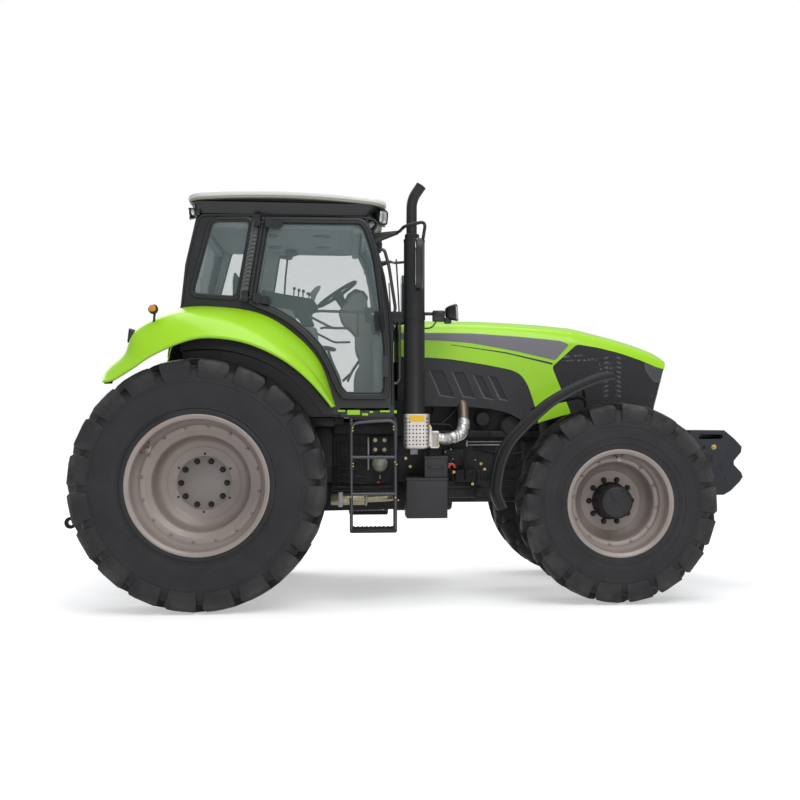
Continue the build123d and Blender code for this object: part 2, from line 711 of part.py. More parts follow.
# Fixed glass, each pane let into its opening.
pane = 6.0
with BuildPart() as cab_windows:
    quarter = slab(cab_side(-8), up(quarter_pane), -pane)
    add(quarter)
    add(mirror(quarter, about=Plane.XZ, mode=Mode.PRIVATE))
    with BuildSketch(side(0)):
        with BuildLine():
            Polyline(
                (1388, 1560), (1384, 1842), (1366, 2200), (1322, 2470), (1249, 2755),
                (1217, 2830), (1210, 2828), (1242, 2753), (1315, 2468), (1359, 2199),
                (1377, 1842), (1381, 1560), close=True,
            )
        make_face()
    extrude(amount=700, both=True)
    with BuildSketch(side(0)):
        with BuildLine():
            Polyline((-154, 2290), (-127, 2532), (-60, 2820), (-53, 2818), (-120, 2531),
                     (-147, 2290), close=True)
        make_face()
    extrude(amount=680, both=True)
save(cab_windows.part, "cab_windows")

# ---------------------------------------------------------------- doors
door_thickness = 26.0
with BuildPart() as door:
    with BuildSketch(cab_side(panel_gap)):
        with BuildLine():
            Polyline(*up(door_outline), close=True)
        make_face()
        with BuildLine():
            Polyline(*up(door_pane), close=True)
        make_face(mode=Mode.SUBTRACT)
    extrude(amount=door_thickness)
    face = panel_gap + door_thickness
    for end, (x, z) in enumerate(hinges):
        add(slab(cab_side(face - 4), up([(x, z + 1), (x + 70, z + 1), (x + 70, z + 20),
                                         (x, z + 20)]), hinge_stand - face + 10))
        with BuildSketch(hinge_plane(end)):
            Circle(hinge_radius)
        extrude(amount=hinge_knuckle - 4)
        with BuildSketch(hinge_plane(end, -10)):
            Circle(hinge_pin_radius + running_gap)
        extrude(amount=60, mode=Mode.SUBTRACT)
    add(slab(cab_side(face), up([(1322, 1700), (1362, 1700), (1362, 1860), (1322, 1860)]), 26))
save_pair(door.part, "door")
door_glass = slab(cab_side(panel_gap + 10), up(door_pane), pane)
save_pair(door_glass, "door_glass")

# ---------------------------------------------------------------- rear fenders
fender_inner, fender_crease, fender_outer = cab_half_low, 1100.0, 1240.0
fender_centre = (20.0, 905.0)


def fender_form(inset, base):
    """The fender's outer form, drawn in towards the wheel's centre by inset."""
    sections = [
        # (distance from the middle, rear foot, rear steps..., crown rear, crown, front)
        (fender_inner, (-690, 1640), (-640, 1760), (-500, 1885), (-442, 2092),
         (-150, 2208), (190, 2206), (640, 2030), (968, 1475)),
        (fender_crease, (-680, 1640), (-630, 1752), (-505, 1862), (-446, 2030),
         (-150, 2134), (150, 2112), (610, 1925), (925, 1475)),
        (fender_outer, (-600, 1600), (-575, 1650), (-480, 1741), (-371, 1830),
         (-152, 1938), (90, 1971), (624, 1836), (945, 1475)),
    ]
    cx, cz = fender_centre

    def shrink(point):
        distance = hypot(point[0] - cx, point[1] - cz)
        k = (distance - inset) / distance
        return cx + (point[0] - cx) * k, cz + (point[1] - cz) * k

    with BuildPart() as form:
        for y, *outline in sections:
            a, b, c, d, e, f, g, h = [shrink(p) for p in outline]
            with BuildSketch(side(-y)):
                with BuildLine():
                    Polyline(a, b, c, d)
                    ThreePointArc(d, e, f)
                    ThreePointArc(f, g, h)
                    Polyline(h, (h[0], base), (a[0], base), a)
                make_face()
        loft(ruled=True)
    return form.part


fender_wall = 24.0
fender_outside = fender_form(0, 1440)
fender_foot = slab(side(-fender_inner), [(-700, 1700), (-700, 1300), (1100, 1300), (1100, 1440),
                                         (-640, 1700)], 500)
save_pair(joined(fender_outside, fender_form(fender_wall, 1300), fender_foot), "rear_fender")

# ---------------------------------------------------------------- bonnet
bonnet_wall = 8.0
BONNET = [
    # (station, half width, foot height, shoulder height, crown height)
    (1455, 430, 1490, 2050, 2193),
    (2020, 430, 1485, 2050, 2195),
    (2600, 425, 1440, 2010, 2171),
    (2920, 415, 1430, 1960, 2137),
    (3308, 388, 1430, 1862, 2041),
    (3560, 350, 1440, 1765, 1955),
    (3680, 325, 1440, 1690, 1885),
]


def bonnet_form(inset, nose_x):
    """The bonnet's full form, closed all round, drawn in by inset and cut at the nose."""
    with BuildPart() as form:
        for row, (x, half, foot, shoulder, crown) in enumerate(BONNET):
            w, top = half - inset, crown - inset
            start = x - inset if row == 0 else x
            low = foot - (40 if inset else 0)
            knee = shoulder - inset / 2
            with BuildSketch(across(start)):
                with BuildLine():
                    Polyline((-w, knee), (-w, low), (w, low), (w, knee))
                    ThreePointArc((w, knee), (0.9 * w, (knee + top) / 2 + 22), (0.62 * w, top - 34))
                    ThreePointArc((0.62 * w, top - 34), (0, top), (-0.62 * w, top - 34))
                    ThreePointArc((-0.62 * w, top - 34), (-0.9 * w, (knee + top) / 2 + 22), (-w, knee))
                make_face()
        loft(ruled=True)
        with BuildSketch(side(0)):
            with BuildLine():
                Polyline(
                    (nose_x - 145, 1300), (nose_x - 120, 1482), (nose_x - 45, 1760),
                    (nose_x, 1880), (nose_x - 20, 1930), (nose_x - 60, 1960), (4000, 2000),
                    (4000, 1300), close=True,
                )
            make_face()
        extrude(amount=600, both=True, mode=Mode.SUBTRACT)
    return form.part


bonnet_nose = 3658.0
bonnet_outside = bonnet_form(0, bonnet_nose)
bonnet_skin = joined(bonnet_outside, bonnet_form(bonnet_wall, bonnet_nose - bonnet_wall - 2))
engine_panel_outline = [
    (1400, 1882), (1674, 1876), (1856, 1864), (2129, 1824), (2358, 1780), (2432, 1743),
    (2487, 1661), (2534, 1524), (2568, 1380), (1400, 1380),
]
nose_outline = [
    (2886, 1989), (3049, 1966), (3238, 1923), (3427, 1863), (3559, 1812), (3800, 1800),
    (3800, 1380), (2850, 1380), (2824, 1467), (2693, 1779), (2687, 1810),
]
engine_panel_zone = slab(side(0), engine_panel_outline, 600, both=True)
nose_zone = slab(side(0), nose_outline, 600, both=True)
hinge_x, hinge_z, bonnet_pin_radius = 1480.0, 2150.0, 10.0
with BuildPart() as firewall:
    add(block((1408, 1420), (-400, 400), (1250, 2168)))
    add(slab(side(-120), [(1419, hinge_z - 110), (1450, hinge_z - 110), (hinge_x + 14, hinge_z - 12),
                          (hinge_x + 14, hinge_z + 13), (hinge_x - 13, hinge_z + 13),
                          (1419, hinge_z - 50)], 20))
    add(rod((hinge_x, -125, hinge_z), (hinge_x, -172, hinge_z), bonnet_pin_radius))
    mirror(about=Plane.XZ)
save(firewall.part, "firewall")
with BuildPart() as bonnet_ear:
    add(block((hinge_x - 18, hinge_x + 18), (-166, -146), (hinge_z - 20, 2200)))
    add(bonnet_outside, mode=Mode.INTERSECT)
    add(rod((hinge_x, -100, hinge_z), (hinge_x, -200, hinge_z),
            bonnet_pin_radius + running_gap), mode=Mode.SUBTRACT)
with BuildPart() as bonnet:
    add(joined(bonnet_skin, engine_panel_zone, nose_zone))
    add(bonnet_ear.part)
    add(mirror(bonnet_ear.part, about=Plane.XZ, mode=Mode.PRIVATE))
save(bonnet.part, "bonnet")
save(joined(bonnet_skin, engine_panel_zone, mode=Mode.INTERSECT), "engine_panels")
save(joined(bonnet_skin, nose_zone, mode=Mode.INTERSECT), "bonnet_nose")

pack_rear, pack_front, pack_half, pack_top = 3090.0, 3430.0, 320.0, 1780.0
save(block((pack_rear, pack_front), (-pack_half, pack_half), (rail_top, pack_top)), "cooling_pack")

# ---------------------------------------------------------------- three-point hitch
def bar(plane, start, end, depth, thickness, eyes):
    """A flat bar between two points of a plane, with round (point, radius, bore) eyes."""
    a, b = Vector(*start), Vector(*end)
    across_bar = (b - a).normalized().rotate(Axis.Z, 90) * (depth / 2)
    with BuildPart() as piece:
        with BuildSketch(plane):
            with BuildLine():
                Polyline(*[(p.X, p.Y) for p in (
                    a - across_bar, b - across_bar, b + across_bar, a + across_bar)], close=True)
            make_face()
            for point, radius, bore in eyes:
                with Locations(point):
                    Circle(radius)
            for point, radius, bore in eyes:
                if bore:
                    with Locations(point):
                        Circle(bore, mode=Mode.SUBTRACT)
        extrude(amount=thickness)
    return piece.part


rod_inner = lift_arm_inner + lift_arm_thickness + 7
rod_thickness = 34.0
with BuildPart() as lift_arms:
    arm = bar(side(-lift_arm_inner), lift_pivot, lift_pin, 62, lift_arm_thickness,
              [(lift_pivot, 62, 0), (lift_pin, 40, 0)])
    add(arm)
    add(rod((lift_pin[0], -lift_arm_inner - 10, lift_pin[1]),
            (lift_pin[0], -(rod_inner + rod_thickness + 8), lift_pin[1]), lift_pin_radius))
    mirror(about=Plane.XZ)
    add(rod((lift_pivot[0], -lift_arm_inner - 5, lift_pivot[1]),
            (lift_pivot[0], lift_arm_inner + 5, lift_pivot[1]), lift_shaft_radius))
save(lift_arms.part, "lift_arms")

with BuildPart() as lift_rods:
    add(bar(side(-rod_inner), lift_pin, link_rod_pin, 34, rod_thickness,
            [(lift_pin, 34, lift_pin_radius + running_gap),
             (link_rod_pin, 46, lift_pin_radius + rod_float)]))
    mirror(about=Plane.XZ)
save(lift_rods.part, "lift_rods")

with BuildPart() as lower_links:
    with BuildSketch(level(link_pivot[1] - 34)):
        with BuildLine():
            Polyline(
                (link_pivot[0], -link_inner), (link_end[0], -link_end_y),
                (link_end[0], -link_end_y - link_thickness),
                (link_pivot[0], -link_inner - link_thickness), close=True,
            )
        make_face()
    extrude(amount=68)
    with BuildSketch(side(-link_inner)):
        with Locations(link_pivot):
            Circle(42)
    extrude(amount=link_thickness)
    with BuildSketch(side(-link_end_y)):
        with Locations(link_end):
            Circle(link_eye_radius)
    extrude(amount=link_thickness)
    with BuildSketch(side(-link_inner + 2)):
        with Locations(link_pivot):
            Circle(link_pin_radius + running_gap)
    extrude(amount=link_thickness + 20, mode=Mode.SUBTRACT)
    with BuildSketch(side(-link_end_y + 10)):
        with Locations(link_end):
            Circle(link_end_bore)
    extrude(amount=link_thickness + 20, mode=Mode.SUBTRACT)
    with BuildSketch(side(-(rod_inner - 6))):
        with Locations(link_rod_pin):
            Circle(lift_pin_radius)
    extrude(amount=90)
    mirror(about=Plane.XZ)
save(lower_links.part, "lower_links")

top_link_slope = 12.0  # the top link's angle above the horizontal
top_end = Vector(*top_link_pivot) + Vector(-top_link_length, 0).rotate(Axis.Z, -top_link_slope)
top_link = bar(side(24), top_link_pivot, (top_end.X, top_end.Y), 40, 48, [
    (top_link_pivot, 32, top_pin_radius + running_gap),
    ((top_end.X, top_end.Y), 34, top_link_end_bore)])
save(top_link, "top_link")

drawbar_z, drawbar_hole, drawbar_hole_radius = 470.0, -800.0, 16.0
with BuildPart() as drawbar:
    with BuildSketch(level(drawbar_z)):
        with BuildLine():
            Polyline((250, -38), (drawbar_hole, -38), (drawbar_hole, 38), (250, 38), close=True)
        make_face()
        with Locations((drawbar_hole, 0)):
            Circle(52)
            Circle(drawbar_hole_radius, mode=Mode.SUBTRACT)
    extrude(amount=32)
    for start, end in ((-235, -175), (150, 200)):
        add(block((start, end), (-90, 90), (drawbar_z - 24, case_bottom - 20)))
save(drawbar.part, "drawbar")

# ---------------------------------------------------------------- front weights
weight_count, weight_thickness, weight_pitch = 10, 74.0, 76.0
weight_bar_depth, weight_bar_height, weight_bar_z = 185.0, 60.0, 1070.0
weight_back = 3828.0  # clear of the front tyres at full lock
weight_slot_back, weight_slot_z = 172.0, 1247.0
weight_slot_length, weight_slot_width = 200.0, 36.0
WEIGHT_OUTLINE = [
    (weight_back, 1300), (4115, 1300), (4200, 1230), (4262, 1165),
    (4256, 1120), (4196, 1050), (4196, 1019), (4258, 955), (weight_nose_reach, 919),
    (4246, 880), (4169, 805), (4110, 772), (weight_back, 772),
]
with BuildPart() as weight_carrier:
    add(block((frame_front, weight_back), (-rail_outer, rail_outer), (rail_bottom, 1240)))
    with BuildSketch(side(0)):
        with Locations((weight_back + weight_bar_depth / 2 - 5, weight_bar_z)):
            Rectangle(weight_bar_depth + 10, weight_bar_height)
    extrude(amount=weight_count * weight_pitch / 2, both=True)
save(weight_carrier.part, "weight_carrier")

with BuildPart() as front_weights:
    for row in range(weight_count):
        y = (row - (weight_count - 1) / 2) * weight_pitch
        with BuildSketch(side(y + weight_thickness / 2)):
            with BuildLine():
                Polyline(*WEIGHT_OUTLINE, close=True)
            make_face()
            with Locations((weight_back + weight_slot_back, weight_slot_z)):
                SlotOverall(weight_slot_length, weight_slot_width, mode=Mode.SUBTRACT)
            with Locations((weight_back + weight_bar_depth / 2, weight_bar_z)):
                Rectangle(weight_bar_depth + 2 * seat_gap, weight_bar_height + 2 * seat_gap,
                          mode=Mode.SUBTRACT)
        extrude(amount=weight_thickness)
save(front_weights.part, "front_weights")

# ---------------------------------------------------------------- right flank
stack_x, stack_y, stack_radius, stack_foot, stack_top = 1560.0, -782.0, 80.0, 1425.0, 2755.0
pipe_x, pipe_radius, pipe_bend_z = 1540.0, 40.0, 3050.0
with BuildPart() as exhaust:
    add(rod((stack_x, stack_y, stack_foot), (stack_x, stack_y, stack_top), stack_radius))
    add(bent_tube([(pipe_x, stack_y, stack_top - 10), (pipe_x, stack_y, pipe_bend_z),
                   (pipe_x + 72, stack_y, pipe_bend_z + 105)], 90, pipe_radius))
    add(block((1676, 1744), (-860, -700), (1165, 1298)))
    add(bent_tube([(1740, -740, 1240), (1925, -650, 1240), (1962, -560, 1430),
                   (1962, -engine_half, 1430)], 60, 40))
save(exhaust.part, "exhaust")
with BuildPart() as heat_shield:
    add(block((1477, 1676), (-864, -696), (1160, stack_foot)))
    add(block((1560, 1600), (-700, -engine_half), (1180, 1230)))
save(heat_shield.part, "heat_shield")

with BuildPart() as battery_box:
    add(block((1496, 1808), (-880, -560), (640, 943)))
    add(block((1634, 1808), (-860, -600), (943, 1106)))
    add(block((1580, 1640), (-560, -230), (700, 760)))
    add(block((1730, 1790), (-560, -engine_half), (740, 800)))
save(battery_box.part, "battery_box")

with BuildPart() as fuel_tank:
    with BuildSketch(across(1450)):
        with Locations((580, 890)):
            RectangleRounded(560, 560, 70)
    extrude(amount=500)
    add(block((1500, 1560), (230, 302), (780, 840)))
    add(block((1850, 1910), (engine_half, 302), (780, 840)))
save(fuel_tank.part, "fuel_tank")

step_heights = (560.0, 833.0, 1104.0, 1362.0)
step_rail_x = (1085.0, 1412.0)
step_rail_y = 815.0
with BuildPart() as steps:
    for x in step_rail_x:
        add(block((x - 12, x + 12), (-step_rail_y - 14, -step_rail_y + 14), (545, 1400)))
    for z in step_heights:
        add(block((step_rail_x[0], step_rail_x[1]), (-1010, -step_rail_y + 14), (z - 12, z + 12)))
    mirror(about=Plane.XZ)
save(steps.part, "steps")

# ---------------------------------------------------------------- cab fittings
mirror_size = (62.0, 215.0, 384.0)
with BuildPart() as mirrors:
    add(bent_tube([(1235, -748, 2760), (1442, -800, 2797), (1476, -1000, 2812),
                   (1630, -1075, 2846), (1600, -1078, 2690)], 34, 13))
    with BuildSketch(level(2326)):
        with Locations((1580, -1080)):
            RectangleRounded(mirror_size[0], mirror_size[1], 24)
    extrude(amount=mirror_size[2])
    add(cab_frame.part, mode=Mode.SUBTRACT)
    mirror(about=Plane.XZ)
save(mirrors.part, "mirrors")

with BuildPart() as handrails:
    add(bent_tube([(1270, -740, 2690), (1335, -760, 2672), (1372, -765, 2580),
                   (1440, -780, 2150), (1370, -770, 2100)], 30, 13))
    add(cab_frame.part, mode=Mode.SUBTRACT)
    mirror(about=Plane.XZ)
save(handrails.part, "handrails")

with BuildPart() as lamps:
    add(block((1215, 1350), (-700, -540), (2862, 2988)))
    add(block((-140, -40), (-700, -560), (2900, 2988)))
    add(block((1800, 1896), (-780, -640), (2132, 2272)))
    add(bent_tube([(1350, -680, 2120), (1500, -672, 2120), (1600, -672, 2200),
                   (1805, -672, 2200)], 60, 15))
    add(block((-355, -292), (-1155, -1045), (2146, 2214)))
    add(rod((-310, -1100, 2160), (-290, -1100, 2060), 14))
    add(block((-512, -430), (-1060, -900), (1926, 2040)))
    for carrier in (cab_frame.part, cab_windows.part, roof_tray.part, fender_outside):
        add(carrier, mode=Mode.SUBTRACT)
    mirror(about=Plane.XZ)
save(lamps.part, "work_lamps")

# ---------------------------------------------------------------- inside the cab
seat_z = 1860.0
save(block((400, 700), (-170, 170), (floor_top, seat_z)), "seat_base")
with BuildPart() as seat:
    with BuildSketch(side(0)):
        with BuildLine():
            Polyline((300, seat_z + seat_gap), (800, seat_z + seat_gap), (810, 1960),
                     (380, 1990), (260, 2560), (160, 2560), (250, 1900), close=True)
        make_face()
    extrude(amount=250, both=True)
save(seat.part, "seat")
side_console = slab(side(-330), [(400, floor_top), (820, floor_top), (900, 2080), (860, 2140),
                                 (420, 2040)], 230)
save(side_console, "side_console")
wheel_plane = Plane(origin=(rear_axle_x + 1050, 0, 2270), x_dir=(0, 1, 0), z_dir=(-0.5, 0, 0.866))
with BuildPart() as steering_column:
    add(slab(side(110), [(1130, floor_top), (1330, floor_top), (1330, 2080), (1120, 2200),
                         (1060, 2120)], 220))
    with BuildSketch(wheel_plane):
        RegularPolygon(205, 20)
        RegularPolygon(175, 20, mode=Mode.SUBTRACT)
        Rectangle(380, 36)
        Circle(45)
    extrude(amount=26)
    with BuildSketch(wheel_plane):
        Circle(32)
    extrude(amount=-160)
save(steering_column.part, "steering_column")
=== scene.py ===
"""Farm tractor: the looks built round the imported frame.

Metres, +X forward, +Y left, +Z up. A station is a distance forward of the rear axle.
"""

import json
from math import copysign, cos, exp, hypot, pi, radians, sin

import bmesh
import bpy
from mathutils import Matrix, Vector


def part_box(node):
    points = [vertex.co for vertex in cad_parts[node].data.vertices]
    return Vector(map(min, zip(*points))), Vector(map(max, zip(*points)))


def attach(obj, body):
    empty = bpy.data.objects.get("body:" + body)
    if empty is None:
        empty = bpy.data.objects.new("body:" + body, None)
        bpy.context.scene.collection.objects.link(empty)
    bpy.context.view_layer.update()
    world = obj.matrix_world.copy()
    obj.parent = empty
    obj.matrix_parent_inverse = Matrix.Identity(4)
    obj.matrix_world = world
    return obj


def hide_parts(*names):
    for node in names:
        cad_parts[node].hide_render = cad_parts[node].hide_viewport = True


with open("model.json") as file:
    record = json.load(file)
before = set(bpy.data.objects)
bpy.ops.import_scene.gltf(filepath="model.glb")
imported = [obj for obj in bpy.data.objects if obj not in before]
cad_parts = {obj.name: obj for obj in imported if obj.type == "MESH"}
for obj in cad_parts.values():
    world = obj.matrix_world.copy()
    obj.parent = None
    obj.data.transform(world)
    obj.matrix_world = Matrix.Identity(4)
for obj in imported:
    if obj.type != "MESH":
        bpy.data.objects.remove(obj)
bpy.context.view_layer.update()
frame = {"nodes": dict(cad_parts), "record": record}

# ---------------------------------------------------------------- places from the frame
low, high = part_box("rear_rim_right")
rear_axle = Vector(((low.x + high.x) / 2, 0, (low.z + high.z) / 2))
low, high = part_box("front_rim_right")
front_axle = Vector(((low.x + high.x) / 2, 0, (low.z + high.z) / 2))
REAR_TRACK, FRONT_TRACK = 1.99, 1.814  # between the rims' centre planes
X0 = rear_axle.x


def at(station, y, z):
    """A point from a station forward of the rear axle."""
    return Vector((X0 + station, y, z))


# ---------------------------------------------------------------- camera, floor, light
LENS_MM, SENSOR_MM = 53.1531, 36.0
SHIFT_LEFT, SHIFT_UP = 0.096325, 0.032675  # shares of the width: the photo is a crop


def linked(name, data):
    """A new object in the scene."""
    obj = bpy.data.objects.new(name, data)
    bpy.context.scene.collection.objects.link(obj)
    return obj


camera_data = bpy.data.cameras.new("view")
camera = linked("view", camera_data)
camera.location = at(1.0379, -9.7345, 1.3332)
camera.rotation_euler = (radians(90), 0, -0.1114)
camera_data.sensor_width = SENSOR_MM
camera_data.lens = LENS_MM
camera_data.shift_x, camera_data.shift_y = -SHIFT_LEFT, SHIFT_UP
camera_data.clip_end = 200
bpy.context.scene.camera = camera


class Graph:
    """Short hand for a material's nodes."""

    def __init__(self, tree):
        self.tree = tree

    def node(self, kind, inputs=None, **settings):
        made = self.tree.nodes.new("ShaderNode" + kind)
        for key, value in settings.items():
            setattr(made, key, value)
        for key, value in (inputs or {}).items():
            if isinstance(value, bpy.types.NodeSocket):
                self.tree.links.new(value, made.inputs[key])
            else:
                made.inputs[key].default_value = value
        return made

    def math(self, operation, a, b=0.5, clamp=False):
        return self.node("Math", {0: a, 1: b}, operation=operation, use_clamp=clamp).outputs[0]

    def mix(self, factor, a, b):
        made = self.node("Mix", {0: factor}, data_type="RGBA")
        for socket, value in ((made.inputs[6], a), (made.inputs[7], b)):
            if isinstance(value, bpy.types.NodeSocket):
                self.tree.links.new(value, socket)
            else:
                socket.default_value = (*value, 1)
        return made.outputs[2]

    def noise(self, where, scale, detail=3.0, rough=0.55):
        return self.node("TexNoise", {"Vector": where, "Scale": scale, "Detail": detail,
                                      "Roughness": rough}).outputs["Fac"]

    def ramp(self, value, start, end, low=0.0, high=1.0):
        return self.node("MapRange", {0: value, 1: start, 2: end, 3: low, 4: high}).outputs[0]


LIFT_REACH, FAR_LIFT = (4.5, 12.0), 0.7  # metres over which the floor brightens, and to what


def shown_white(name, diffuse, lift):
    """A stage surface that the camera, gloss and glass see nearly white, with shadows."""
    material = bpy.data.materials.new(name)
    material.use_nodes = True
    material.node_tree.nodes.clear()
    g = Graph(material.node_tree)
    path = g.node("LightPath")
    seen = g.math("MAXIMUM", path.outputs["Is Camera Ray"], path.outputs["Is Glossy Ray"])
    seen = g.math("MAXIMUM", seen, path.outputs["Is Transmission Ray"])
    plain = g.node("BsdfDiffuse", {"Color": (diffuse, diffuse, diffuse, 1)})
    bright = g.node("BsdfDiffuse", {"Color": (0.8, 0.8, 0.8, 1)})
    place = g.node("NewGeometry").outputs["Position"]
    away = g.node("VectorMath", {0: place}, operation="LENGTH").outputs["Value"]
    glow = g.node("Emission", {"Color": (1, 1, 1, 1),
        "Strength": g.ramp(away, *LIFT_REACH, lift, FAR_LIFT)})
    both = g.node("AddShader", {0: bright.outputs[0], 1: glow.outputs[0]})
    out = g.node("MixShader", {0: seen, 1: plain.outputs[0], 2: both.outputs[0]})
    g.node("OutputMaterial", {"Surface": out.outputs[0]})
    return material


def make_stage():
    """The white floor, the sky and the four lamps."""
    mesh = bpy.data.meshes.new("floor")
    reach = 60.0
    mesh.from_pydata([(-reach, -reach, 0), (reach, -reach, 0), (reach, reach, 0),
        (-reach, reach, 0)], [], [(0, 1, 2, 3)])
    floor = linked("floor", mesh)
    mesh.materials.append(shown_white("floor_white", 0.6, 0.43))
    world = bpy.data.worlds.new("studio")
    bpy.context.scene.world = world
    world.use_nodes = True
    world.node_tree.nodes.clear()
    g = Graph(world.node_tree)
    path = g.node("LightPath")
    seen = g.math("MAXIMUM", path.outputs["Is Camera Ray"], path.outputs["Is Transmission Ray"])
    soft = g.node("Background", {"Color": (0.93, 0.96, 1, 1), "Strength": 0.5})
    white = g.node("Background", {"Color": (1, 1, 1, 1), "Strength": 1.0})
    out = g.node("MixShader", {0: seen, 1: soft.outputs[0], 2: white.outputs[0]})
    g.node("OutputWorld", {"Surface": out.outputs[0]})
    for name, place, aim, size, power in (
        ("key", (2.0, -7.0, 8.5), (0, 0, 1.2), 7.0, 430),
        ("top", (-0.5, 1.0, 9.0), (0, 0, 1.0), 8.0, 330),
        ("back", (-5.0, 6.5, 6.0), (0, 0, 1.2), 6.0, 190),
        ("low", (0.5, -9.0, 1.4), (0.2, 0, 1.2), 6.0, 70),
    ):
        lamp = bpy.data.lights.new(name, "AREA")
        lamp.shape, lamp.size, lamp.energy = "DISK", size, power
        holder = linked(name, lamp)
        holder.location = place
        holder.rotation_euler = (Vector(aim) - Vector(place)).to_track_quat("-Z", "Y").to_euler()
    bpy.context.scene.view_settings.view_transform = "Standard"


make_stage()


# ---------------------------------------------------------------- materials
def surface(name, colour, rough, metal=0.0, tone=0.12, patch=3.0, bump=0.0, grain=220.0,
            coat=0.0, gloss=0.5, dust=0.0, dust_colour=(0.2, 0.17, 0.14), wear=0.0,
            wear_colour=(0.45, 0.44, 0.42), rough_spread=0.08, streak=None, alpha=None):
    """A painted, moulded, cast or worn surface. patch and grain are noise scales."""
    material = bpy.data.materials.new(name)
    material.use_nodes = True
    g = Graph(material.node_tree)
    shader = material.node_tree.nodes["Principled BSDF"]
    link = material.node_tree.links.new
    where = g.node("TexCoord").outputs["Object"]
    if streak:
        where = g.node("Mapping", {"Vector": where, "Scale": streak}).outputs[0]
    big = g.noise(where, patch, 4.0)
    fine = g.noise(where, grain, 2.0)
    dark = tuple(c * (1 - tone) for c in colour)
    pale = tuple(min(1.0, c * (1 + tone)) for c in colour)
    tint = g.mix(g.ramp(big, 0.3, 0.7), dark, pale)
    tint = g.mix(g.ramp(fine, 0.35, 0.75, 0.0, tone), tint, tuple(c * 0.6 for c in colour))
    if wear:
        point = g.node("NewGeometry").outputs["Pointiness"]
        edge = g.math("MULTIPLY", g.ramp(point, 0.53, 0.62), g.ramp(big, 0.42, 0.62, 0.0, wear))
        tint = g.mix(edge, tint, wear_colour)
    if dust:
        height = g.node("SeparateXYZ", {0: g.node("NewGeometry").outputs["Position"]}).outputs[2]
        settled = g.math("MULTIPLY", g.ramp(height, 2.2, 0.1, 0.25, 1.0),
            g.ramp(g.noise(where, patch * 2.7, 6.0, 0.65), 0.42, 0.72, 0.0, dust))
        tint = g.mix(settled, tint, dust_colour)
    link(tint, shader.inputs["Base Color"])
    link(g.ramp(fine, 0.3, 0.7, max(0.02, rough - rough_spread), min(1, rough + rough_spread)),
        shader.inputs["Roughness"])
    shader.inputs["Metallic"].default_value = metal
    shader.inputs["Specular IOR Level"].default_value = gloss
    if coat:
        shader.inputs["Coat Weight"].default_value = coat
        shader.inputs["Coat Roughness"].default_value = 0.06
    if alpha is not None:
        facing = g.node("LayerWeight", {"Blend": 0.35}).outputs["Fresnel"]
        link(g.ramp(facing, 0.0, 1.0, alpha, 0.85), shader.inputs["Alpha"])
    if bump:
        lump = g.node("Bump", {"Height": fine, "Strength": bump, "Distance": 0.002})
        link(lump.outputs[0], shader.inputs["Normal"])
    return material


M = {
    "tyre_rubber": surface("rubber", (0.026, 0.0255, 0.028), 0.6, tone=0.18, patch=5, bump=0.35,
                           grain=320, gloss=0.28, dust=0.22, dust_colour=(0.058, 0.053, 0.05),
                           wear=0.5, wear_colour=(0.15, 0.135, 0.12)),
    "rim_paint": surface("rim_taupe", (0.36, 0.305, 0.28), 0.42, metal=0.15, tone=0.07, patch=4,
                         bump=0.12, grain=180, dust=0.12, dust_colour=(0.26, 0.2, 0.16)),
    "hub_black": surface("hub_black", (0.016, 0.016, 0.018), 0.42, tone=0.2, bump=0.4,
                         grain=260, gloss=0.35, dust=0.2, dust_colour=(0.08, 0.075, 0.07)),
    "chassis_grey": surface("chassis_black", (0.01, 0.01, 0.011), 0.5, tone=0.25, bump=0.5,
                            gloss=0.3, grain=150, dust=0.25,
                            dust_colour=(0.07, 0.065, 0.06), wear=0.25,
                            wear_colour=(0.12, 0.12, 0.12)),
    "body_green": surface("lime_green", (0.375, 0.735, 0.012), 0.3, tone=0.025, patch=1.6,
                          bump=0.02, grain=500, coat=0.22, gloss=0.4, rough_spread=0.03),
    "panel_dark": surface("panel_grey", (0.034, 0.034, 0.037), 0.5, tone=0.1, bump=0.25,
                          gloss=0.3, grain=420, dust=0.1, dust_colour=(0.1, 0.095, 0.09)),
    "cab_dark": surface("cab_black", (0.019, 0.019, 0.021), 0.36, tone=0.1, bump=0.12, grain=300,
                        gloss=0.35, coat=0.1, dust=0.08, dust_colour=(0.08, 0.075, 0.07)),
    "roof_white": surface("roof_white", (0.74, 0.74, 0.72), 0.34, tone=0.03, patch=2, bump=0.06,
                          grain=260, coat=0.25, dust=0.06, dust_colour=(0.5, 0.48, 0.44)),
    "glass_clear": surface("tinted_glass", (0.36, 0.46, 0.47), 0.04, tone=0.03, patch=1.5,
                           grain=2.0, rough_spread=0.0, gloss=0.35, alpha=0.13),
    "exhaust_black": surface("exhaust_black", (0.016, 0.016, 0.018), 0.45, metal=0.1, tone=0.2,
                             gloss=0.35, bump=0.3, grain=200, dust=0.15,
                             dust_colour=(0.09, 0.07, 0.055)),
    "shield_steel": surface("shield_steel", (0.58, 0.55, 0.52), 0.38, metal=0.85, tone=0.12,
                            patch=9, bump=0.15, grain=300, dust=0.25,
                            dust_colour=(0.3, 0.24, 0.19)),
    "weight_iron": surface("weight_iron", (0.034, 0.035, 0.041), 0.5, tone=0.15, gloss=0.3,
                           bump=0.6, grain=130, wear=0.3, wear_colour=(0.14, 0.14, 0.15)),
    "seat_fabric": surface("seat_cloth", (0.035, 0.035, 0.04), 0.85, tone=0.2, bump=0.7,
                           grain=600),
    "interior_plastic": surface("trim_plastic", (0.055, 0.055, 0.06), 0.6, tone=0.1, bump=0.4,
                                grain=500),
    "lamp_plastic": surface("lamp_black", (0.014, 0.014, 0.016), 0.3, tone=0.12, gloss=0.4,
                            bump=0.1, grain=300),
}


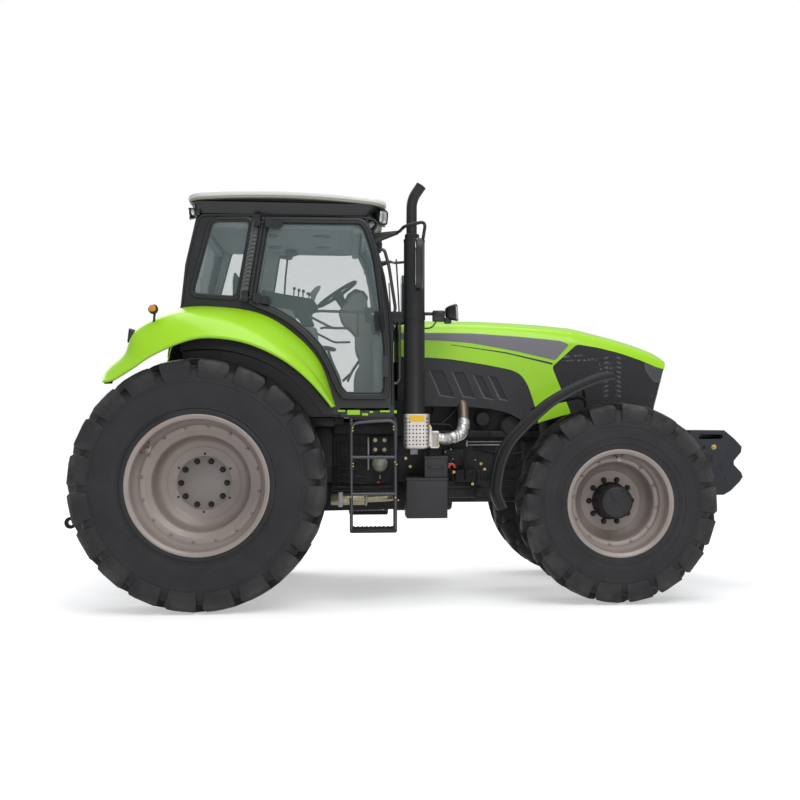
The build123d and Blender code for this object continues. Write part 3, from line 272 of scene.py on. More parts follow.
def perforated(name, colour, pitch, open_share, rough=0.5, metal=0.0):
    """Sheet with rows of small holes through it, set out in the side and front views."""
    material = surface(name, colour, rough, metal=metal, tone=0.08, gloss=0.3, bump=0.1)
    g = Graph(material.node_tree)
    shader = material.node_tree.nodes["Principled BSDF"]
    where = g.node("SeparateXYZ", {0: g.node("TexCoord").outputs["Object"]}).outputs
    turn = 2 * pi / pitch
    rows = g.math("SINE", g.math("MULTIPLY", where[2], turn))
    columns = g.math("SINE", g.math("MULTIPLY", g.math("ADD", where[0], where[1]), turn))
    bars = g.math("ABSOLUTE", g.math("MULTIPLY", rows, columns))
    solid = g.math("LESS_THAN", bars, 1 - open_share)
    material.node_tree.links.new(solid, shader.inputs["Alpha"])
    return material



def look(name, *settings, **options):
    """Adds a surface to the materials by its own name."""
    M[name] = surface(name, *settings, **options)


M["mesh"] = perforated("black_mesh", (0.03, 0.03, 0.033), 0.007, 0.26)
look("stripe_grey", (0.205, 0.198, 0.222), 0.4, tone=0.02, bump=0.02, gloss=0.3)
look("stripe_violet", (0.045, 0.03, 0.085), 0.4, tone=0.03, gloss=0.3)
look("lamp_glass", (0.06, 0.06, 0.068), 0.08, tone=0.15, patch=20, coat=0.8)


def soften(obj, width, segments=2, angle=28):
    """Rounds a CAD node's sharp edges with modifiers alone."""
    weld = obj.modifiers.new("weld", "WELD")
    weld.merge_threshold = 0.00002
    flat = obj.modifiers.new("flat", "DECIMATE")
    flat.decimate_type, flat.angle_limit = "DISSOLVE", radians(1.0)
    bevel = obj.modifiers.new("bevel", "BEVEL")
    bevel.width, bevel.segments = width, segments
    bevel.limit_method, bevel.angle_limit = "ANGLE", radians(angle)
    bevel.harden_normals = False


for entry in frame["record"]["subparts"]:
    node = frame["nodes"][entry["node"]]
    node.data.materials.clear()
    node.data.materials.append(M[entry["material_slot"]])


# ---------------------------------------------------------------- mesh helpers
NEARLY_UPRIGHT = 0.98  # cosine beyond which an axis counts as vertical
NEAREST_BEND = 0.48  # share of a side that one corner's arc may take up


def spot(point):
    """A vector as it is, or a (station, y, z) triple as a point of the scene."""
    return point if isinstance(point, Vector) else at(*point)


def piece(name, form, look_name, body="chassis", smooth=32.0, replaces=(), slot=None):
    """Links a mesh as one piece that rides on a body, shaded smooth below an angle."""
    mesh = to_mesh(clean(form)) if isinstance(form, bmesh.types.BMesh) else form
    mesh.name = name
    mesh.polygons.foreach_set("use_smooth", [True] * len(mesh.polygons))
    mesh.set_sharp_from_angle(angle=radians(smooth))
    mesh.materials.clear()
    mesh.materials.append(M[look_name])
    obj = linked(name, mesh)
    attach(obj, body)
    if replaces:
        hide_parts(*replaces)
    return obj


def pair(name, bm, look_name, body="chassis", replaces=(), **options):
    """A right-hand piece and its mirror image on the left, from one right-hand mesh."""
    other = clean(bm).copy()
    bmesh.ops.transform(other, matrix=Matrix.Scale(-1, 4, (0, 1, 0)), verts=other.verts)
    bmesh.ops.reverse_faces(other, faces=other.faces)
    for side, form in (("right", bm), ("left", other)):
        piece(f"{name}_{side}", to_mesh(form), look_name, body.format(side),
            replaces=[n.format(side) for n in replaces], **options)


def loft(bm, rings, caps=True, joined=False):
    """Quads between equal closed rings of points, with capped ends or joined end to end."""
    rows = [[bm.verts.new(p) for p in ring] for ring in rings]
    count = len(rows[0])
    for near, far in zip(rows, rows[1:] + rows[:1] if joined else rows[1:]):
        for i in range(count):
            j = (i + 1) % count
            bm.faces.new((near[i], near[j], far[j], far[i]))
    if caps and not joined:
        bm.faces.new(list(reversed(rows[0])))
        bm.faces.new(rows[-1])
    return rows


def basis(axis):
    """Two unit vectors square to an axis."""
    axis = Vector(axis).normalized()
    up = Vector((0, 0, 1))
    if abs(axis.dot(up)) > NEARLY_UPRIGHT:
        up = Vector((1, 0, 0))
    first = up.cross(axis).normalized()
    return first, axis.cross(first)


def around(count, start=0.0):
    """Angles spread evenly round a circle."""
    return [start + 2 * pi * k / count for k in range(count)]


def lathe(bm, profile, origin, axis, segments=96, turn=0.0):
    """A closed (along, radius) profile turned about an axis."""
    origin, axis = spot(origin), Vector(axis).normalized()
    u, v = basis(axis)
    rings = []
    for angle in around(segments, turn):
        out = u * cos(angle) + v * sin(angle)
        rings.append([bm.verts.new(origin + axis * a + out * r) for a, r in profile])
    count = len(profile)
    for k in range(segments):
        near, far = rings[k], rings[(k + 1) % segments]
        for i in range(count):
            j = (i + 1) % count
            if profile[i][1] == 0 and profile[j][1] == 0:
                continue
            bm.faces.new((near[i], near[j], far[j], far[i]))
    bmesh.ops.remove_doubles(bm, verts=[v for ring in rings for v in ring], dist=1e-6)


def plug(bm, near, far, radius, origin, axis, segments, turn=0.0):
    """A plain round disc or pin between two distances along an axis."""
    lathe(bm, [(near, 0), (near, radius), (far, radius), (far, 0)], origin, axis, segments, turn)


def clean(bm):
    """Turns every face outward."""
    bmesh.ops.recalc_face_normals(bm, faces=bm.faces)
    return bm


def box(bm, low, high, bevel=0.004, segments=2, matrix=None):
    """A box between two corners with rounded edges."""
    low, high = spot(low), spot(high)
    made = bmesh.ops.create_cube(bm, size=1.0)["verts"]
    size = high - low
    place = Matrix.Translation((low + high) / 2) @ Matrix.Diagonal((*size, 1))
    bmesh.ops.transform(bm, matrix=place, verts=made)
    if bevel:
        edges = list(dict.fromkeys(e for v in made for e in v.link_edges))
        made = bmesh.ops.bevel(bm, geom=edges, offset=min(bevel, min(size) * 0.45),
            segments=segments, affect="EDGES", profile=0.5)["verts"]
    if matrix is not None:
        bmesh.ops.transform(bm, matrix=matrix, verts=made)


def boxes(bm, *rows):
    """Boxes from rows of two corners in stations, then bevel and segments."""
    for x0, y0, z0, x1, y1, z1, *finish in rows:
        box(bm, (x0, y0, z0), (x1, y1, z1), *finish)


def slats(bm, count, pitch, low, high, *finish):
    """Equal boxes at a pitch along the tractor."""
    for k in range(count):
        box(bm, (low[0] + pitch * k, *low[1:]), (high[0] + pitch * k, *high[1:]), *finish)


def corner_arc(before, corner, after, bend, steps):
    """A corner turned into an arc between its two neighbours."""
    a, b = before - corner, after - corner
    reach = min(bend, a.length * NEAREST_BEND, b.length * NEAREST_BEND)
    start, end = corner + a.normalized() * reach, corner + b.normalized() * reach
    return [(1 - t) ** 2 * start + 2 * t * (1 - t) * corner + t * t * end
            for t in (k / steps for k in range(steps + 1))]


def rounded(points, bend):
    """A run of points with its corners turned into arcs."""
    points = [spot(p) for p in points]
    out = [points[0]]
    for corner in zip(points, points[1:], points[2:]):
        out += corner_arc(*corner, bend, 6)
    return out + [points[-1]]


def tube(bm, points, radius, bend=0.05, sides=14, squash=1.0, caps=True):
    """A round bar along a bent line; a list of radii makes it taper or swell."""
    line = rounded(points, bend) if bend else [spot(p) for p in points]
    count = len(line)
    axis = (line[1] - line[0]).normalized()
    u, v = basis(axis)
    rings = []
    for k, point in enumerate(line):
        ahead = (line[min(k + 1, count - 1)] - line[max(k - 1, 0)]).normalized()
        turn = axis.rotation_difference(ahead)
        u, v, axis = turn @ u, turn @ v, ahead
        r = radius[k] if isinstance(radius, (list, tuple)) else radius
        rings.append([point + u * (r * cos(t)) + v * (r * squash * sin(t)) for t in around(sides)])
    loft(bm, rings, caps=caps)


def bolt(bm, place, axis, radius=0.012, height=0.01, washer=True):
    """A hexagon head with a washer under it."""
    if washer:
        lathe(bm, [(-0.002, 0), (-0.002, radius * 1.5), (0.0025, radius * 1.5), (0.0025, 0)],
            place, axis, 16)
    lathe(bm, [(0.001, 0), (0.001, radius), (height * 0.8, radius), (height, radius * 0.82),
        (height, 0)], place, axis, 6)


def plate(bm, outline, plane, thickness):
    """A flat plate: outline points (u, v) on plane (origin, u axis, v axis)."""
    origin, u, v = (Vector(p) for p in plane)
    normal = u.cross(v)
    outline = list(outline)
    loft(bm, [[origin + u * a + v * b + normal * d for a, b in outline] for d in (0.0, thickness)])


# ---------------------------------------------------------------- smooth shapes
def spline(points, steps):
    """A Catmull-Rom line through points, with so many steps between each two."""
    points = [Vector(p) for p in points]
    line = []
    for i in range(len(points) - 1):
        p0, p1, p2 = points[max(i - 1, 0)], points[i], points[i + 1]
        p3 = points[min(i + 2, len(points) - 1)]
        for k in range(steps):
            t = k / steps
            line.append(0.5 * (2 * p1 + (p2 - p0) * t + (2 * p0 - 5 * p1 + 4 * p2 - p3) * t * t
                               + (3 * p1 - p0 - 3 * p2 + p3) * t ** 3))
    line.append(points[-1])
    return line


def closed_round(points, bend):
    """A closed outline with every corner turned into an arc."""
    points = [Vector(p) for p in points]
    out = []
    for i, corner in enumerate(points):
        out += corner_arc(points[i - 1], corner, points[(i + 1) % len(points)], bend, 5)
    return out


def oval(wide, tall, square, square_up, count):
    """(u, v) points round a rounded rectangle: the lower the two powers, the squarer."""
    for t in around(count):
        c, s = cos(t), sin(t)
        yield (wide * copysign(abs(c) ** square, c), tall * copysign(abs(s) ** square_up, s))


def swell(bm, line, middle, rows, axis="y"):
    """A flat outline run along an axis, scaled about its middle at each (place, scale)."""
    mu, mv = middle
    rings = []
    for d, k in rows:
        flat = [(mu + (p.x - mu) * k, mv + (p.y - mv) * k) for p in line]
        order = {"x": (2, 0, 1), "y": (0, 2, 1), "z": (0, 1, 2)}[axis]
        rings.append([at(*((u, v, d)[i] for i in order)) for u, v in flat])
    loft(bm, rings)


def strip(bm, points, place, bend, section):
    """A closed bead round an outline: section is (inward from the line, proud of it)."""
    line = closed_round(points, bend)
    area = sum(a.x * b.y - b.x * a.y for a, b in zip(line, line[1:] + line[:1]))
    way = 1 if area > 0 else -1
    rings = []
    for i, point in enumerate(line):
        along = (line[(i + 1) % len(line)] - line[i - 1]).normalized()
        inward = Vector((-along.y, along.x)) * way
        rings.append([place(*(point + inward * a), d) for a, d in section])
    loft(bm, rings, joined=True)


def fill(bm, points, place, near, far, bend=0.02):
    """A plate with rounded corners, between two distances from a wall."""
    line = closed_round(points, bend)
    loft(bm, [[place(p.x, p.y, d) for p in line] for d in (near, far)])


def to_mesh(bm):
    """A mesh from a form that isn't needed any more."""
    mesh = bpy.data.meshes.new("mesh")
    bm.to_mesh(mesh)
    bm.free()
    return mesh


def carve(mesh, *steps):
    """A new mesh after booleans: steps are (operation, mesh)."""
    base = linked("temporary", mesh)
    tools = [(operation, linked("temporary", other)) for operation, other in steps]
    for operation, tool in tools:
        cut = base.modifiers.new("cut", "BOOLEAN")
        cut.operation, cut.object, cut.solver = operation, tool, "EXACT"
    bpy.context.view_layer.update()
    graph = bpy.context.evaluated_depsgraph_get()
    made = bpy.data.meshes.new_from_object(base.evaluated_get(graph))
    for obj in (base, *(tool for _, tool in tools)):
        bpy.data.objects.remove(obj)
    return made


def prism(outline, near=-0.7, far=0.7, bend=0.0):
    """A (station, height) outline run across the tractor."""
    line = closed_round(outline, bend) if bend else [Vector(p) for p in outline]
    bm = bmesh.new()
    loft(bm, [[at(p[0], y, p[1]) for p in line] for y in (near, far)])
    return to_mesh(clean(bm))


# ---------------------------------------------------------------- bonnet
BONNET = [  # (station, half width, foot, shoulder and crown heights)
    (1.455, 0.43, 1.49, 2.05, 2.193), (2.02, 0.43, 1.485, 2.05, 2.195),
    (2.306, 0.428, 1.443, 2.036, 2.187), (2.5, 0.426, 1.35, 2.019, 2.177),
    (2.62, 0.4245, 1.375, 2.008, 2.17), (2.8, 0.4195, 1.425, 1.983, 2.153),
    (2.92, 0.415, 1.43, 1.96, 2.137),
    (3.308, 0.388, 1.43, 1.862, 2.041), (3.56, 0.35, 1.44, 1.765, 1.955),
    (3.68, 0.325, 1.44, 1.69, 1.885),
]
NOSE = 3.658  # the nose's foremost station; its cut line is (behind it, height)
NOSE_CUT = [(-0.145, 1.3), (-0.12, 1.482), (-0.045, 1.76), (-0.006, 1.862), (0.0, 1.885),
    (-0.006, 1.908), (-0.024, 1.93), (-0.06, 1.955)]


def bonnet_hull(inset, drop=0.0):
    """The bonnet's closed form, smooth along and across, drawn in by inset."""
    rows = spline(BONNET, 9)
    bm = bmesh.new()
    rings = []
    for index, row in enumerate(rows):
        x, half, foot, shoulder, crown = row
        w, top, low = half - inset, crown - inset, foot - drop
        if index == 0:
            x -= inset
        knee = shoulder - 0.02
        side = [(w, low), (w, low + 0.25 * (knee - low)), (w, low + 0.6 * (knee - low)), (w, knee)]
        arch = [(w, knee), (0.985 * w, knee + 0.35 * (top - 0.034 - knee)),
            (0.9 * w, (knee + top) / 2 + 0.022), (0.78 * w, top - 0.052), (0.62 * w, top - 0.032),
            (0.33 * w, top - 0.009), (0.0, top)]
        arch = [tuple(p) for p in spline(arch, 5)]
        right = side + arch[1:]
        ring = [at(x, -y, z) for y, z in right] + [at(x, y, z) for y, z in reversed(right[:-1])]
        rings.append(ring)
    loft(bm, rings)
    shell = to_mesh(clean(bm))
    nose = [(NOSE - max(inset, 0.0) * 1.2 + a, z) for a, z in NOSE_CUT]
    beyond = prism(nose + [(NOSE + 0.5, 2.0), (NOSE + 0.5, 1.3)])
    return carve(shell, ("DIFFERENCE", beyond))


ENGINE_PANEL = [(1.4, 1.882), (1.674, 1.876), (1.856, 1.864), (2.129, 1.824), (2.358, 1.78),
    (2.432, 1.743), (2.487, 1.661), (2.534, 1.524), (2.58, 1.34), (1.4, 1.34)]
NOSE_PANEL = [(2.886, 1.989), (3.049, 1.966), (3.238, 1.923), (3.427, 1.863), (3.559, 1.812),
    (3.8, 1.76), (3.8, 1.34), (2.862, 1.34), (2.824, 1.467), (2.693, 1.779), (2.687, 1.81)]
WINDOWS = [  # the side panel's slanted windows: top left, top right, foot right, foot left
    ((1.699, 1.774), (1.804, 1.774), (1.903, 1.559), (1.787, 1.575)),
    ((1.883, 1.761), (1.974, 1.761), (2.063, 1.554), (1.97, 1.567)),
    ((2.05, 1.738), (2.117, 1.731), (2.213, 1.543), (2.138, 1.559)),
    ((2.172, 1.731), (2.231, 1.723), (2.324, 1.538), (2.263, 1.547)),
]
STRIPE = [(1.462, 2.07), (2.02, 2.069), (2.4, 2.046), (2.747, 2.016), (2.796, 1.998),
    (2.819, 1.981), (2.715, 1.868), (2.7, 1.86), (2.407, 1.926), (2.2, 1.963), (2.02, 1.992),
    (1.8, 2.008), (1.462, 2.016)]
PINSTRIPE = [(1.872, 1.979), (2.31, 1.921), (2.681, 1.84), (2.69, 1.826), (2.681, 1.824),
    (2.31, 1.911), (1.872, 1.974)]
HEADLAMP = [(3.464, 1.852), (3.468, 1.786), (3.536, 1.7), (3.64, 1.7), (3.64, 1.8)]


def grown(outline, amount):
    """An outline grown about its middle."""
    cx = sum(p[0] for p in outline) / len(outline)
    cz = sum(p[1] for p in outline) / len(outline)
    return [(cx + (x - cx) * amount, cz + (z - cz) * amount) for x, z in outline]


hull, inner_hull = bonnet_hull(0.0), bonnet_hull(0.009, 0.06)
panel_hull, panel_inner = bonnet_hull(0.004), bonnet_hull(0.01, 0.06)
window_hull, window_inner = bonnet_hull(0.0115), bonnet_hull(0.013, 0.06)
decal_hull = bonnet_hull(-0.0008)


def bonnet_piece(name, base, steps, look_name, smooth=30, **options):
    """A piece of the bonnet: '-' cuts a mesh away from the base, '&' keeps what is inside it."""
    kinds = {"-": "DIFFERENCE", "&": "INTERSECT"}
    made = carve(base.copy(), *[(kinds[how], mesh.copy()) for how, mesh in steps])
    piece(name, made, look_name, "bonnet", smooth, **options)


engine_zone, nose_zone = prism(ENGINE_PANEL, bend=0.05), prism(NOSE_PANEL, bend=0.028)
headlamp_zone = prism(HEADLAMP, bend=0.012)
bonnet_piece("bonnet_skin", hull, [("-", inner_hull), ("-", engine_zone), ("-", nose_zone)],
    "body_green", replaces=["bonnet"])
window_zones = [prism(corners, bend=0.012) for corners in WINDOWS]
bonnet_piece("side_panels", panel_hull,
    [("-", panel_inner), ("&", engine_zone)] + [("-", zone) for zone in window_zones],
    "panel_dark", replaces=["engine_panels"])
all_windows = bmesh.new()
for corners in WINDOWS:
    all_windows.from_mesh(prism(grown(corners, 1.06), bend=0.012))
all_windows = to_mesh(all_windows)
bonnet_piece("side_mesh", window_hull, [("-", window_inner), ("&", all_windows)], "mesh",
    slot="panel_dark")
bonnet_piece("nose_panel", panel_hull,
    [("-", panel_inner), ("&", nose_zone), ("-", headlamp_zone)], "mesh", slot="panel_dark",
    replaces=["bonnet_nose"])
bonnet_piece("headlamps", panel_hull, [("-", panel_inner), ("&", headlamp_zone)], "lamp_glass",
    slot="lamp_plastic")
bonnet_piece("stripe", decal_hull, [("-", hull), ("&", prism(STRIPE, bend=0.02))], "stripe_grey",
    slot="panel_dark")
bonnet_piece("pinstripe", decal_hull, [("-", hull), ("&", prism(PINSTRIPE, bend=0.003))],
    "stripe_violet", slot="panel_dark")


# ---------------------------------------------------------------- wheels
WHEELS = {
    # name: (axle, track, tyre r, half width, flange r, seat r, rim half, lugs a side)
    "rear": (rear_axle, REAR_TRACK, 0.912, 0.26, 0.508, 0.483, 0.241, 20),
    "front": (front_axle, FRONT_TRACK, 0.756, 0.23, 0.4065, 0.381, 0.202, 18),
}
OUT = Vector((0, -1, 0))  # outboard on the right-hand side
UP = Vector((0, 0, 1))
LUG_DEPTH, BLOCK_SHARE = 0.05, 0.79  # a shoulder block fills this share of its pitch
DISC = {"rear": -0.209, "front": -0.164}  # the rim disc's face, outboard of the centre plane
STUD_RING, STUDS = 0.1675, 10


def spoke(angle):
    """The unit vector at an angle from a wheel's top."""
    return Vector((sin(angle), 0, cos(angle)))


def wheel_point(axle, track, a, radius, angle):
    """A point of the right wheel: a outboard of the rim's centre plane, angle from the top."""
    return axle + OUT * (track / 2) + OUT * a + spoke(angle) * radius


def make_tyre(name):
    """A right-hand tyre: a turned carcass and two rows of lugs."""
    axle, track, radius, half, flange, seat, rim_half, lugs = WHEELS[name]
    tread = radius - LUG_DEPTH
    block = BLOCK_SHARE * pi * radius / lugs  # half a shoulder block's length
    bm = bmesh.new()
    outer = [  # (outboard, radius) from the middle of the tread to the bead
        (0.0, tread), (half * 0.35, tread - 0.001), (half * 0.62, tread - 0.006),
        (half - 0.062, tread - 0.016), (half - 0.036, tread - 0.034),
        (half - 0.02, tread - 0.062), (half - 0.013, tread - 0.1),
        (half - 0.009, tread - 0.118), (half - 0.006, tread - 0.121),
        (half - 0.006, tread - 0.127), (half - 0.009, tread - 0.13),
        (half - 0.008, tread - 0.17), (half - 0.009, tread - 0.21),
        (half - 0.014, flange + 0.085), (half - 0.022, flange + 0.055),
        (half - 0.019, flange + 0.05), (half - 0.02, flange + 0.043),
        (half - 0.026, flange + 0.038), (rim_half + 0.0, flange + 0.02),
        (rim_half - 0.004, flange + 0.006), (rim_half - 0.006, flange - 0.004),
        (rim_half - 0.016, seat + 0.004),
    ]
    inner = [(-a, r) for a, r in reversed(outer[1:])]
    profile = outer + [(0.0, seat + 0.004)] + inner
    lathe(bm, profile, axle + OUT * (track / 2), OUT, 144)
    over = [  # the lug's outer line: (outboard, radius, middle, half length along the tread)
        (0.004, radius, 0.0, 0.03), (half * 0.4, radius - 0.003, 0.4, 0.033),
        (half - 0.085, radius - 0.008, 0.88, 0.042),
        (half - 0.052, radius - 0.012, 1.0, block * 0.64),
        (half - 0.024, radius - 0.018, 1.0, block * 0.9),
        (half - 0.004, radius - 0.04, 1.0, block),
        (half + 0.0, radius - 0.09, 1.0, block * 0.95),
        (half - 0.003, radius - 0.132, 1.0, block * 0.9),
        (half - 0.01, radius - 0.15, 1.0, block * 0.85),
    ]
    under = [(0.002, tread - 0.02), (half * 0.4, tread - 0.02), (half - 0.08, tread - 0.03),
        (half - 0.055, tread - 0.045), (half - 0.035, tread - 0.065), (half - 0.03, tread - 0.085),
        (half - 0.028, tread - 0.105), (half - 0.028, tread - 0.12), (half - 0.028, tread - 0.13)]
    reach = 0.62 * half
    lead = 0.31 * half  # the bar is centred on its own angle
    soft, skirt = 0.004, 0.008  # the lug's rounded edge, and its foot's spread
    for k in range(2 * lugs):
        way = 1 if k % 2 == 0 else -1
        phase = pi * k / lugs
        rings = []
        for (a, r, share, wide), (b, base) in zip(over, under):
            middle = share * reach - lead + max(0.0, wide - 0.042) * 0.62
            sink = soft / max(1e-6, hypot(a - b, r - base))
            low_a, low_r = a + (b - a) * sink, r + (base - r) * sink
            ring = [wheel_point(axle, track, way * aa, rr, phase + s / radius) for s, aa,
                rr in ((middle - wide - skirt, b, base),
                (middle - wide - skirt * 0.3, low_a, low_r), (middle - wide + soft, a, r),
                (middle + wide - soft, a, r), (middle + wide + skirt * 0.3, low_a, low_r),
                (middle + wide + skirt, b, base))]
            rings.append(ring[::way])
        loft(bm, rings)
    return bm


for end in ("rear", "front"):
    pair(f"tyre_{end}", make_tyre(end), "tyre_rubber", f"{end}_wheel_{{}}", smooth=26,
        replaces=[f"{end}_tyre_{{}}"])


def make_rim(name):
    """A right-hand rim: its turned section, and the rivets of the disc's outer ring."""
    axle, track, _, _, flange, seat, rim_half, _ = WHEELS[name]
    thick = 0.009
    disc = DISC[name]
    if name == "rear":
        shelf = [(0.03, 0.436), (0.014, 0.433), (0.008, 0.428), (0.006, 0.402), (0.002, 0.392),
            (-0.006, 0.384), (-0.01, 0.362), (-0.02, 0.352), (-0.034, 0.349)]
        floor = [(-0.14, 0.345), (-0.164, 0.338), (-0.182, 0.322), (-0.194, 0.3), (-0.2, 0.276),
            (-0.206, 0.266), (-0.209, 0.262), (disc, 0.0)]
    else:
        shelf = [(0.03, 0.34), (0.014, 0.336), (0.006, 0.331), (0.003, 0.312), (-0.004, 0.303),
            (-0.016, 0.299), (-0.03, 0.297)]
        floor = [(-0.1, 0.293), (-0.124, 0.286), (-0.142, 0.27), (-0.153, 0.25), (-0.159, 0.238),
            (-0.163, 0.232), (disc, 0.228), (disc, 0.137)]
    front = [(rim_half - 0.004, flange - 0.001), (rim_half - 0.001, flange - 0.004),
        (rim_half, flange - 0.009), (rim_half - 0.003, flange - 0.015),
        (rim_half - 0.009, seat - 0.003), (rim_half - 0.016, seat - 0.01),
        (rim_half - 0.04, seat - 0.011), (rim_half - 0.052, seat - 0.014),
        (rim_half - 0.058, seat - 0.014), (rim_half - 0.07, seat - 0.01), (0.092, seat - 0.01),
        (0.08, seat - 0.013), (0.062, seat - 0.022), (0.05, seat - 0.036), (0.04, seat - 0.043)]
    back = [(a - 0.014, r + (0.008 if r else 0.0)) for a, r in reversed(floor)]
    back[0] = (floor[-1][0] - 0.014, floor[-1][1])
    well = [(-0.046, seat - 0.043), (-0.074, seat - thick), (-rim_half, seat - thick),
        (-rim_half, flange - 0.003), (-rim_half + 0.012, flange - 0.002),
        (-rim_half + 0.014, seat), (-0.07, seat), (-0.04, seat - 0.034), (0.04, seat - 0.034),
        (0.07, seat), (rim_half - 0.014, seat), (rim_half - 0.012, flange - 0.002)]
    profile = front + shelf + floor + back + well
    bm = bmesh.new()
    lathe(bm, profile, axle + OUT * (track / 2), OUT, 128)
    ring, rivets = (0.418, 16) if name == "rear" else (0.322, 12)
    for angle in around(rivets, 0.13):
        lathe(bm, [(0, 0), (0, 0.013), (0.006, 0.012), (0.011, 0.007), (0.012, 0)],
            wheel_point(axle, track, 0.004, ring, angle), OUT, 12)
    return bm


def make_wheel_fittings(name):
    """The wheel's bolts, with the holes round them and the rear rim's six holes drawn as black
    discs (painted shade), and the valve with its guard.
    """
    axle, track, _, _, flange, *_ = WHEELS[name]
    disc = DISC[name]
    dark, valve = bmesh.new(), bmesh.new()
    for angle in around(STUDS, pi / STUDS):
        place = wheel_point(axle, track, disc, STUD_RING, angle)
        # A black disc round each bolt: painted shade in its hole.
        lathe(dark, [(-0.001, 0), (-0.001, 0.0195), (0.002, 0.0195), (0.003, 0.0165), (0.003, 0)],
            place, OUT, 20)
        bolt(dark, place + OUT * 0.002, OUT, 0.0135, 0.012, washer=False)
    if name == "rear":
        # The rear rim's six holes as black discs: painted shade.
        for angle in around(6, 0.02):
            plug(dark, -0.002, 0.0012, 0.009, wheel_point(axle, track, disc, 0.216, angle), OUT,
                14)
    turn = -0.95 if name == "rear" else -0.02
    foot = wheel_point(axle, track, 0.06, flange - 0.062, turn)
    tip = wheel_point(axle, track, 0.16, flange - 0.075, turn)
    tube(valve, [foot, foot.lerp(tip, 0.5) + Vector((0, 0, -0.004)), tip], 0.011, 0.02, 12)
    half_turn = [pi * k / 8 for k in range(9)]
    loop = [wheel_point(axle, track, 0.1 + 0.075 * sin(t), flange - 0.035 - 0.055 * sin(t),
        turn + 0.1 * cos(t)) for t in half_turn]
    tube(valve, loop, 0.008, 0, 10)
    return dark, valve


look("bolt_black", (0.01, 0.01, 0.011), 0.4, metal=0.4, tone=0.2, bump=0.2)
look("zinc_yellow", (0.55, 0.42, 0.16), 0.35, metal=0.75, tone=0.2, patch=30, bump=0.1)
for end in ("rear", "front"):
    body = f"{end}_wheel_{{}}"
    pair(f"rim_{end}", make_rim(end), "rim_paint", body, replaces=[f"{end}_rim_{{}}"], smooth=40)
    dark, valve = make_wheel_fittings(end)
    pair(f"wheel_bolts_{end}", dark, "bolt_black", body, slot="hub_black")
    pair(f"valve_{end}", valve, "rim_paint", body)

# ---------------------------------------------------------------- more materials
look("steel_pipe", (0.22, 0.17, 0.14), 0.42, metal=0.8, tone=0.25, patch=12, bump=0.2, dust=0.3,
    dust_colour=(0.16, 0.11, 0.08))
M["foil"] = surface("foil_wrap", (0.62, 0.61, 0.59), 0.36, metal=0.75, tone=0.15, patch=40,
    bump=0.9, grain=60, rough_spread=0.12)
look("pale_metal", (0.42, 0.42, 0.41), 0.45, metal=0.6, tone=0.15, patch=15, bump=0.3, dust=0.2,
    dust_colour=(0.2, 0.18, 0.16))
M["brass"] = surface("olive_brass", (0.4, 0.36, 0.24), 0.3, metal=0.7, tone=0.2, patch=14,
    bump=0.2, dust=0.3, dust_colour=(0.12, 0.1, 0.07))
look("bowl_glass", (0.34, 0.37, 0.29), 0.12, tone=0.25, patch=30, coat=0.6)
look("tap_red", (0.55, 0.035, 0.02), 0.4, tone=0.12, bump=0.05)
look("blank_plate", (0.86, 0.5, 0.02), 0.4, tone=0.04, bump=0.03)
look("trim_taupe", (0.36, 0.335, 0.29), 0.62, tone=0.1, bump=0.35, grain=420)
look("trim_grey", (0.68, 0.68, 0.7), 0.7, tone=0.08, bump=0.2, grain=500)
# A near-black sheet, darker than any paint: painted shade for the fenders' undersides.
M["under_fender_shade"] = surface("painted_shade_black", (0.0035, 0.0035, 0.004), 0.75, tone=0.2, gloss=0.15, bump=0.2)
look("soft_black", (0.01, 0.01, 0.011), 0.62, tone=0.2, bump=0.3, gloss=0.3)
look("satin_tube", (0.055, 0.056, 0.064), 0.3, metal=0.25, tone=0.1, bump=0.08, coat=0.2)
look("hub_plate", (0.3, 0.275, 0.26), 0.45, metal=0.1, tone=0.06, bump=0.12)
look("mark_grey", (0.085, 0.085, 0.088), 0.55, tone=0.15, bump=0.15)
look("rib_grey", (0.13, 0.13, 0.135), 0.35, tone=0.1, bump=0.1)
# The roof's lip is the roof's white made darker: painted shade on its downward-facing band.
look("shaded_roof_lip", (0.36, 0.33, 0.31), 0.5, tone=0.05, bump=0.1)
look("lens_clear", (0.6, 0.6, 0.62), 0.12, metal=0.5, tone=0.2, patch=60, coat=0.8)
look("lens_red", (0.45, 0.02, 0.015), 0.15, tone=0.15, patch=60, coat=0.8)
look("lens_amber", (0.75, 0.26, 0.02), 0.15, tone=0.12, patch=60, coat=0.8)
look("mirror_glass", (0.34, 0.36, 0.38), 0.06, metal=1.0, tone=0.03)

# ---------------------------------------------------------------- under the bonnet
bm = bmesh.new()
boxes(bm, (1.74, -0.2, 1.545, 2.64, 0.2, 1.7, 0.03, 3),
    (1.8, -0.13, 1.69, 2.58, 0.13, 1.76, 0.03, 3))
slats(bm, 6, 0.13, (1.83, -0.15, 1.7), (1.87, 0.15, 1.775), 0.008)
boxes(bm, (2.7, -0.335, 1.2, 3.092, 0.335, 1.86, 0.03, 3),
    (3.428, -0.285, 1.2, 3.5, 0.285, 1.74, 0.02), (1.5, -0.3, 1.42, 1.74, 0.3, 1.66, 0.03, 2))
lathe(bm, [(-0.42, 0), (-0.42, 0.09), (-0.4, 0.115), (0.28, 0.115), (0.3, 0.1), (0.34, 0.06),
    (0.34, 0)], (2.05, 0.0, 1.945), (1, 0, 0), 40)
piece("engine_top", bm, "soft_black", slot="chassis_grey")
bm = bmesh.new()
tube(bm, [(1.967, -0.3, 1.4), (1.972, -0.32, 1.52), (2.02, -0.335, 1.62), (2.12, -0.335, 1.685),
    (2.27, -0.335, 1.715)], 0.033, 0.06, 18)
tube(bm, [(2.27, -0.335, 1.715), (2.36, -0.3, 1.72), (2.4, -0.18, 1.7)], 0.036, 0.05, 18)
